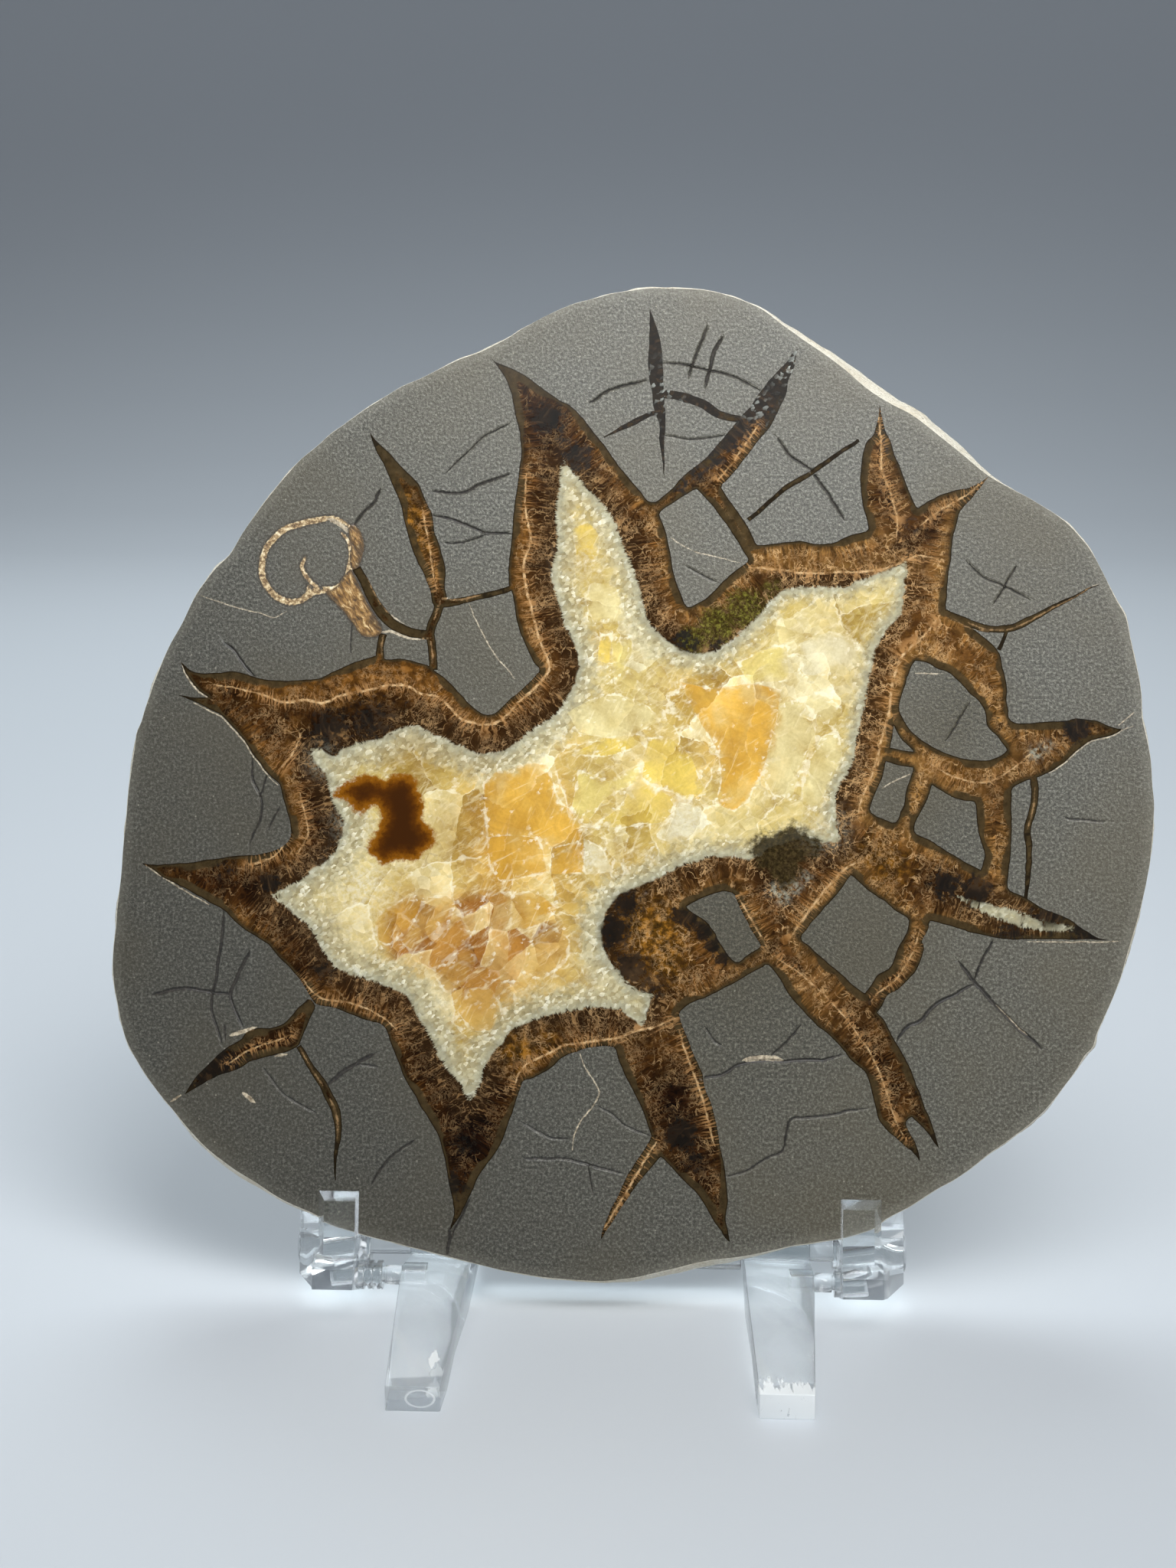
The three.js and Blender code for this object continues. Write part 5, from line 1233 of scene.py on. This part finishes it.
colour = r.mix(r.times(frost, r.step(core, 0.0, -0.2)), colour, srgb(176, 178, 160))
# Painted glints: white sparkles on the dark cracks near the top.
colour = r.mix(r.times(r.stored("glint"), chipped), colour, srgb(190, 194, 186))
r.wire(shader.inputs, Base_Color=colour)
dull = r.times_plus(grains["Shade"], 0.08, r.times_plus(r.stored("sawn"), 0.4, 0.12))
dull = r.times_plus(inky, 0.2, dull)
r.wire(shader.inputs, Roughness=dull)
height = r.times_plus(saw_marks(r, place), 1.0, r.times(hair, 0.2))
r.bump(shader, height, 0.3, 0.0001)

# The ammonite's shell: cream and tan ribs across it.
shell_look, r, shader = finish_with("ammonite shell", Roughness=0.3)
place = r.stored("face_mm", "Vector")
ribs = r.noise(r.shaped(r.bent(place, 0.8, 0.8), (0.38, 1.25, 1), 35), 1.0, 4, 0.65)
colour = r.tones(ribs, (0.32, 56, 40, 20), (0.45, 112, 80, 38), (0.56, 158, 120, 68),
                (0.68, 214, 190, 142), (0.76, 234, 222, 190))
outline = r.step(r.times_plus(ribs, 0.6, r.stored("shell_mm")), 0.85, 0.35)
colour = r.mix(r.times(outline, 0.8), colour, srgb(56, 42, 24))
r.wire(shader.inputs, Base_Color=colour)
r.bump(shader, ribs, 0.3, 0.0002)

# The rind: pale, limy and gritty, with buff stains.
rind_look, r, shader = finish_with("rough rind", Roughness=0.85, Specular_IOR_Level=0.3)
place = r.stored("face_mm", "Vector")
grit = r.noise(place, 2.2, 5, 0.75)
stain_mask = r.step(r.noise(place, 0.12, 4, 0.6), 0.45, 0.7)
colour = r.tones(grit, (0.3, 182, 173, 154), (0.5, 216, 210, 194), (0.7, 234, 230, 219))
colour = r.mix(r.times(stain_mask, 0.4), colour, srgb(184, 168, 138))
pits = r.step(r.cells(place, 1.1), 0.22, 0.08)
colour = r.mix(r.times(pits, 0.35), colour, srgb(120, 108, 88))
r.wire(shader.inputs, Base_Color=colour)
height = r.times_plus(pits, -0.8, grit)
r.bump(shader, height, 0.7, 0.0003)

for material in (mudstone, filling_look, shell_look, rind_look):
    slice_mesh.materials.append(material)
septarian_slice = bpy.data.objects.new("septarian_slice", slice_mesh)
bpy.context.collection.objects.link(septarian_slice)
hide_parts("septarian_slab")
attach(septarian_slice, "root")


# ---------------------------------------------------------------------------------------------
# The easel's two arms: clear plastic mouldings with a short finger in front of the stone and a tall
# upright behind it. They hang on the cross rod. Their edges are slightly rounded and catch the light.
# ---------------------------------------------------------------------------------------------

clear_plastic, r, shader = finish_with("clear moulded plastic", Roughness=0.04, IOR=1.49,
                                       Transmission_Weight=1.0)
place = r.node("TexCoord", "Object")
shader.inputs["Base Color"].default_value = (0.985, 0.993, 0.997, 1)
flow = r.noise(r.shaped(place, (0.0167, 0.0167, 0.04)), 1.0, 2)
r.bump(shader, flow, 0.06, 0.001)
# A foot bar is seen through nearly straight, as its top and bottom are parallel.
straight = r.node("BsdfTransparent", 0, {0: (0.955, 0.965, 0.97, 1)})
body = r.node("MixShader", 0, {0: r.stored("see_through"), 1: shader.outputs[0], 2: straight})
# The right toe is scuffed. The left one has a painted glint on top, a rough white patch that stands for a
# highlight, and the ring of an ejector pin in front.
spot = r.node("SeparateXYZ", 0, {0: place})
x, y, z = (spot.node.outputs[axis] for axis in "XYZ")
streaks = r.noise(r.shaped(place, (0.0006, 0.003, 0.001)), 1.0, 3, 0.6)
height_on_toe = r.times_plus(streaks, 0.009, y)
scuffs = r.times(r.step(height_on_toe, -0.0296, -0.0312), r.step(x, 0.010, 0.011))
glint = r.plus(r.math("ABSOLUTE", r.times(r.plus(x, 0.0226), 2.4)),
               r.math("ABSOLUTE", r.plus(y, 0.0312)))
glint = r.step(r.times_plus(streaks, 0.004, glint), 0.0044, 0.0036)
off_x, off_z = r.plus(x, 0.0236), r.times_plus(z, 1.6, -0.0027)
radius = r.math("SQRT", r.times_plus(off_x, off_x, r.times(off_z, off_z)))
ring = r.step(r.math("ABSOLUTE", r.minus(radius, 0.0017)), 0.0002, 0.0001)
ring = r.times(ring, r.step(y, -0.0366, -0.0368, 0.0, 0.5))
marks = r.larger(r.times(scuffs, 0.8), r.larger(r.times(glint, 0.7), ring))
worn_and_glint = r.tree.nodes.new("ShaderNodeBsdfPrincipled")
worn_and_glint.inputs["Base Color"].default_value = (0.9, 0.93, 0.94, 1)
worn_and_glint.inputs["Roughness"].default_value = 0.5
body = r.node("MixShader", 0, {0: marks, 1: body, 2: worn_and_glint.outputs[0]})
# Lamps shine through it, so its shadow on the table is light. Light that has crossed three faces goes on
# straight, because most of it leaves a clear moulding again.
through = r.node("BsdfTransparent", 0, {0: (0.93, 0.945, 0.95, 1)})
to_lamp = r.node("LightPath", "Is Shadow Ray")
crossed = r.math("GREATER_THAN", r.node("LightPath", "Transmission Depth"), 2.5)
either = r.node("MixShader", 0, {0: r.larger(to_lamp, crossed), 1: body, 2: through})
r.wire(r.tree.nodes["Material Output"].inputs, Surface=either)


BEVEL_SEGMENTS, BEVEL_FROM_DEGREES = 2, 35


def rounded_copy(node, width_mm, see_through):
    """A copy of a moulding with doubles merged, flat areas joined into single faces, and its edges bevelled.
    see_through is the share of light that its material lets straight through."""
    name = "moulded_" + node
    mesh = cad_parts[node].data.copy()
    mesh.name = name
    work = bmesh.new()
    work.from_mesh(mesh)
    bmesh.ops.remove_doubles(work, verts=work.verts, dist=1e-6)
    bmesh.ops.dissolve_limit(work, angle_limit=math.radians(1), verts=work.verts, edges=work.edges)
    work.to_mesh(mesh)
    work.free()
    share = mesh.attributes.new("see_through", "FLOAT", "POINT")
    share.data.foreach_set("value", np.full(len(mesh.vertices), see_through, dtype=np.float32))
    mesh.materials.clear()
    mesh.materials.append(clear_plastic)
    piece = bpy.data.objects.new(name, mesh)
    bpy.context.collection.objects.link(piece)
    bevel = piece.modifiers.new("rounded edges", "BEVEL")
    bevel.width = width_mm * MM
    bevel.segments = BEVEL_SEGMENTS
    bevel.limit_method = "ANGLE"
    bevel.angle_limit = math.radians(BEVEL_FROM_DEGREES)
    bevel.harden_normals = True
    mesh.polygons.foreach_set("use_smooth", np.ones(len(mesh.polygons), dtype=bool))
    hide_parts(node)
    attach(piece, "root")


for arm in ("left_arm", "right_arm"):
    rounded_copy(arm, width_mm=0.22, see_through=0.1)


# ---------------------------------------------------------------------------------------------
# The two foot bars: clear plastic mouldings that stand on the table and carry a knuckle for the
# rod and the pins. Their top and bottom are parallel, so the table shows through them.
# ---------------------------------------------------------------------------------------------

for bar in ("left_leg", "right_leg"):
    rounded_copy(bar, width_mm=0.25, see_through=0.35)


# ---------------------------------------------------------------------------------------------
# The cross rod and the two pins: clear plastic turned round. The rod joins both foot bars and both
# arms behind the stone, and each pin keeps an arm on its foot bar.
# ---------------------------------------------------------------------------------------------

for round_piece in ("cross_rod", "left_pin", "right_pin"):
    rounded_copy(round_piece, width_mm=0.1, see_through=0.2)
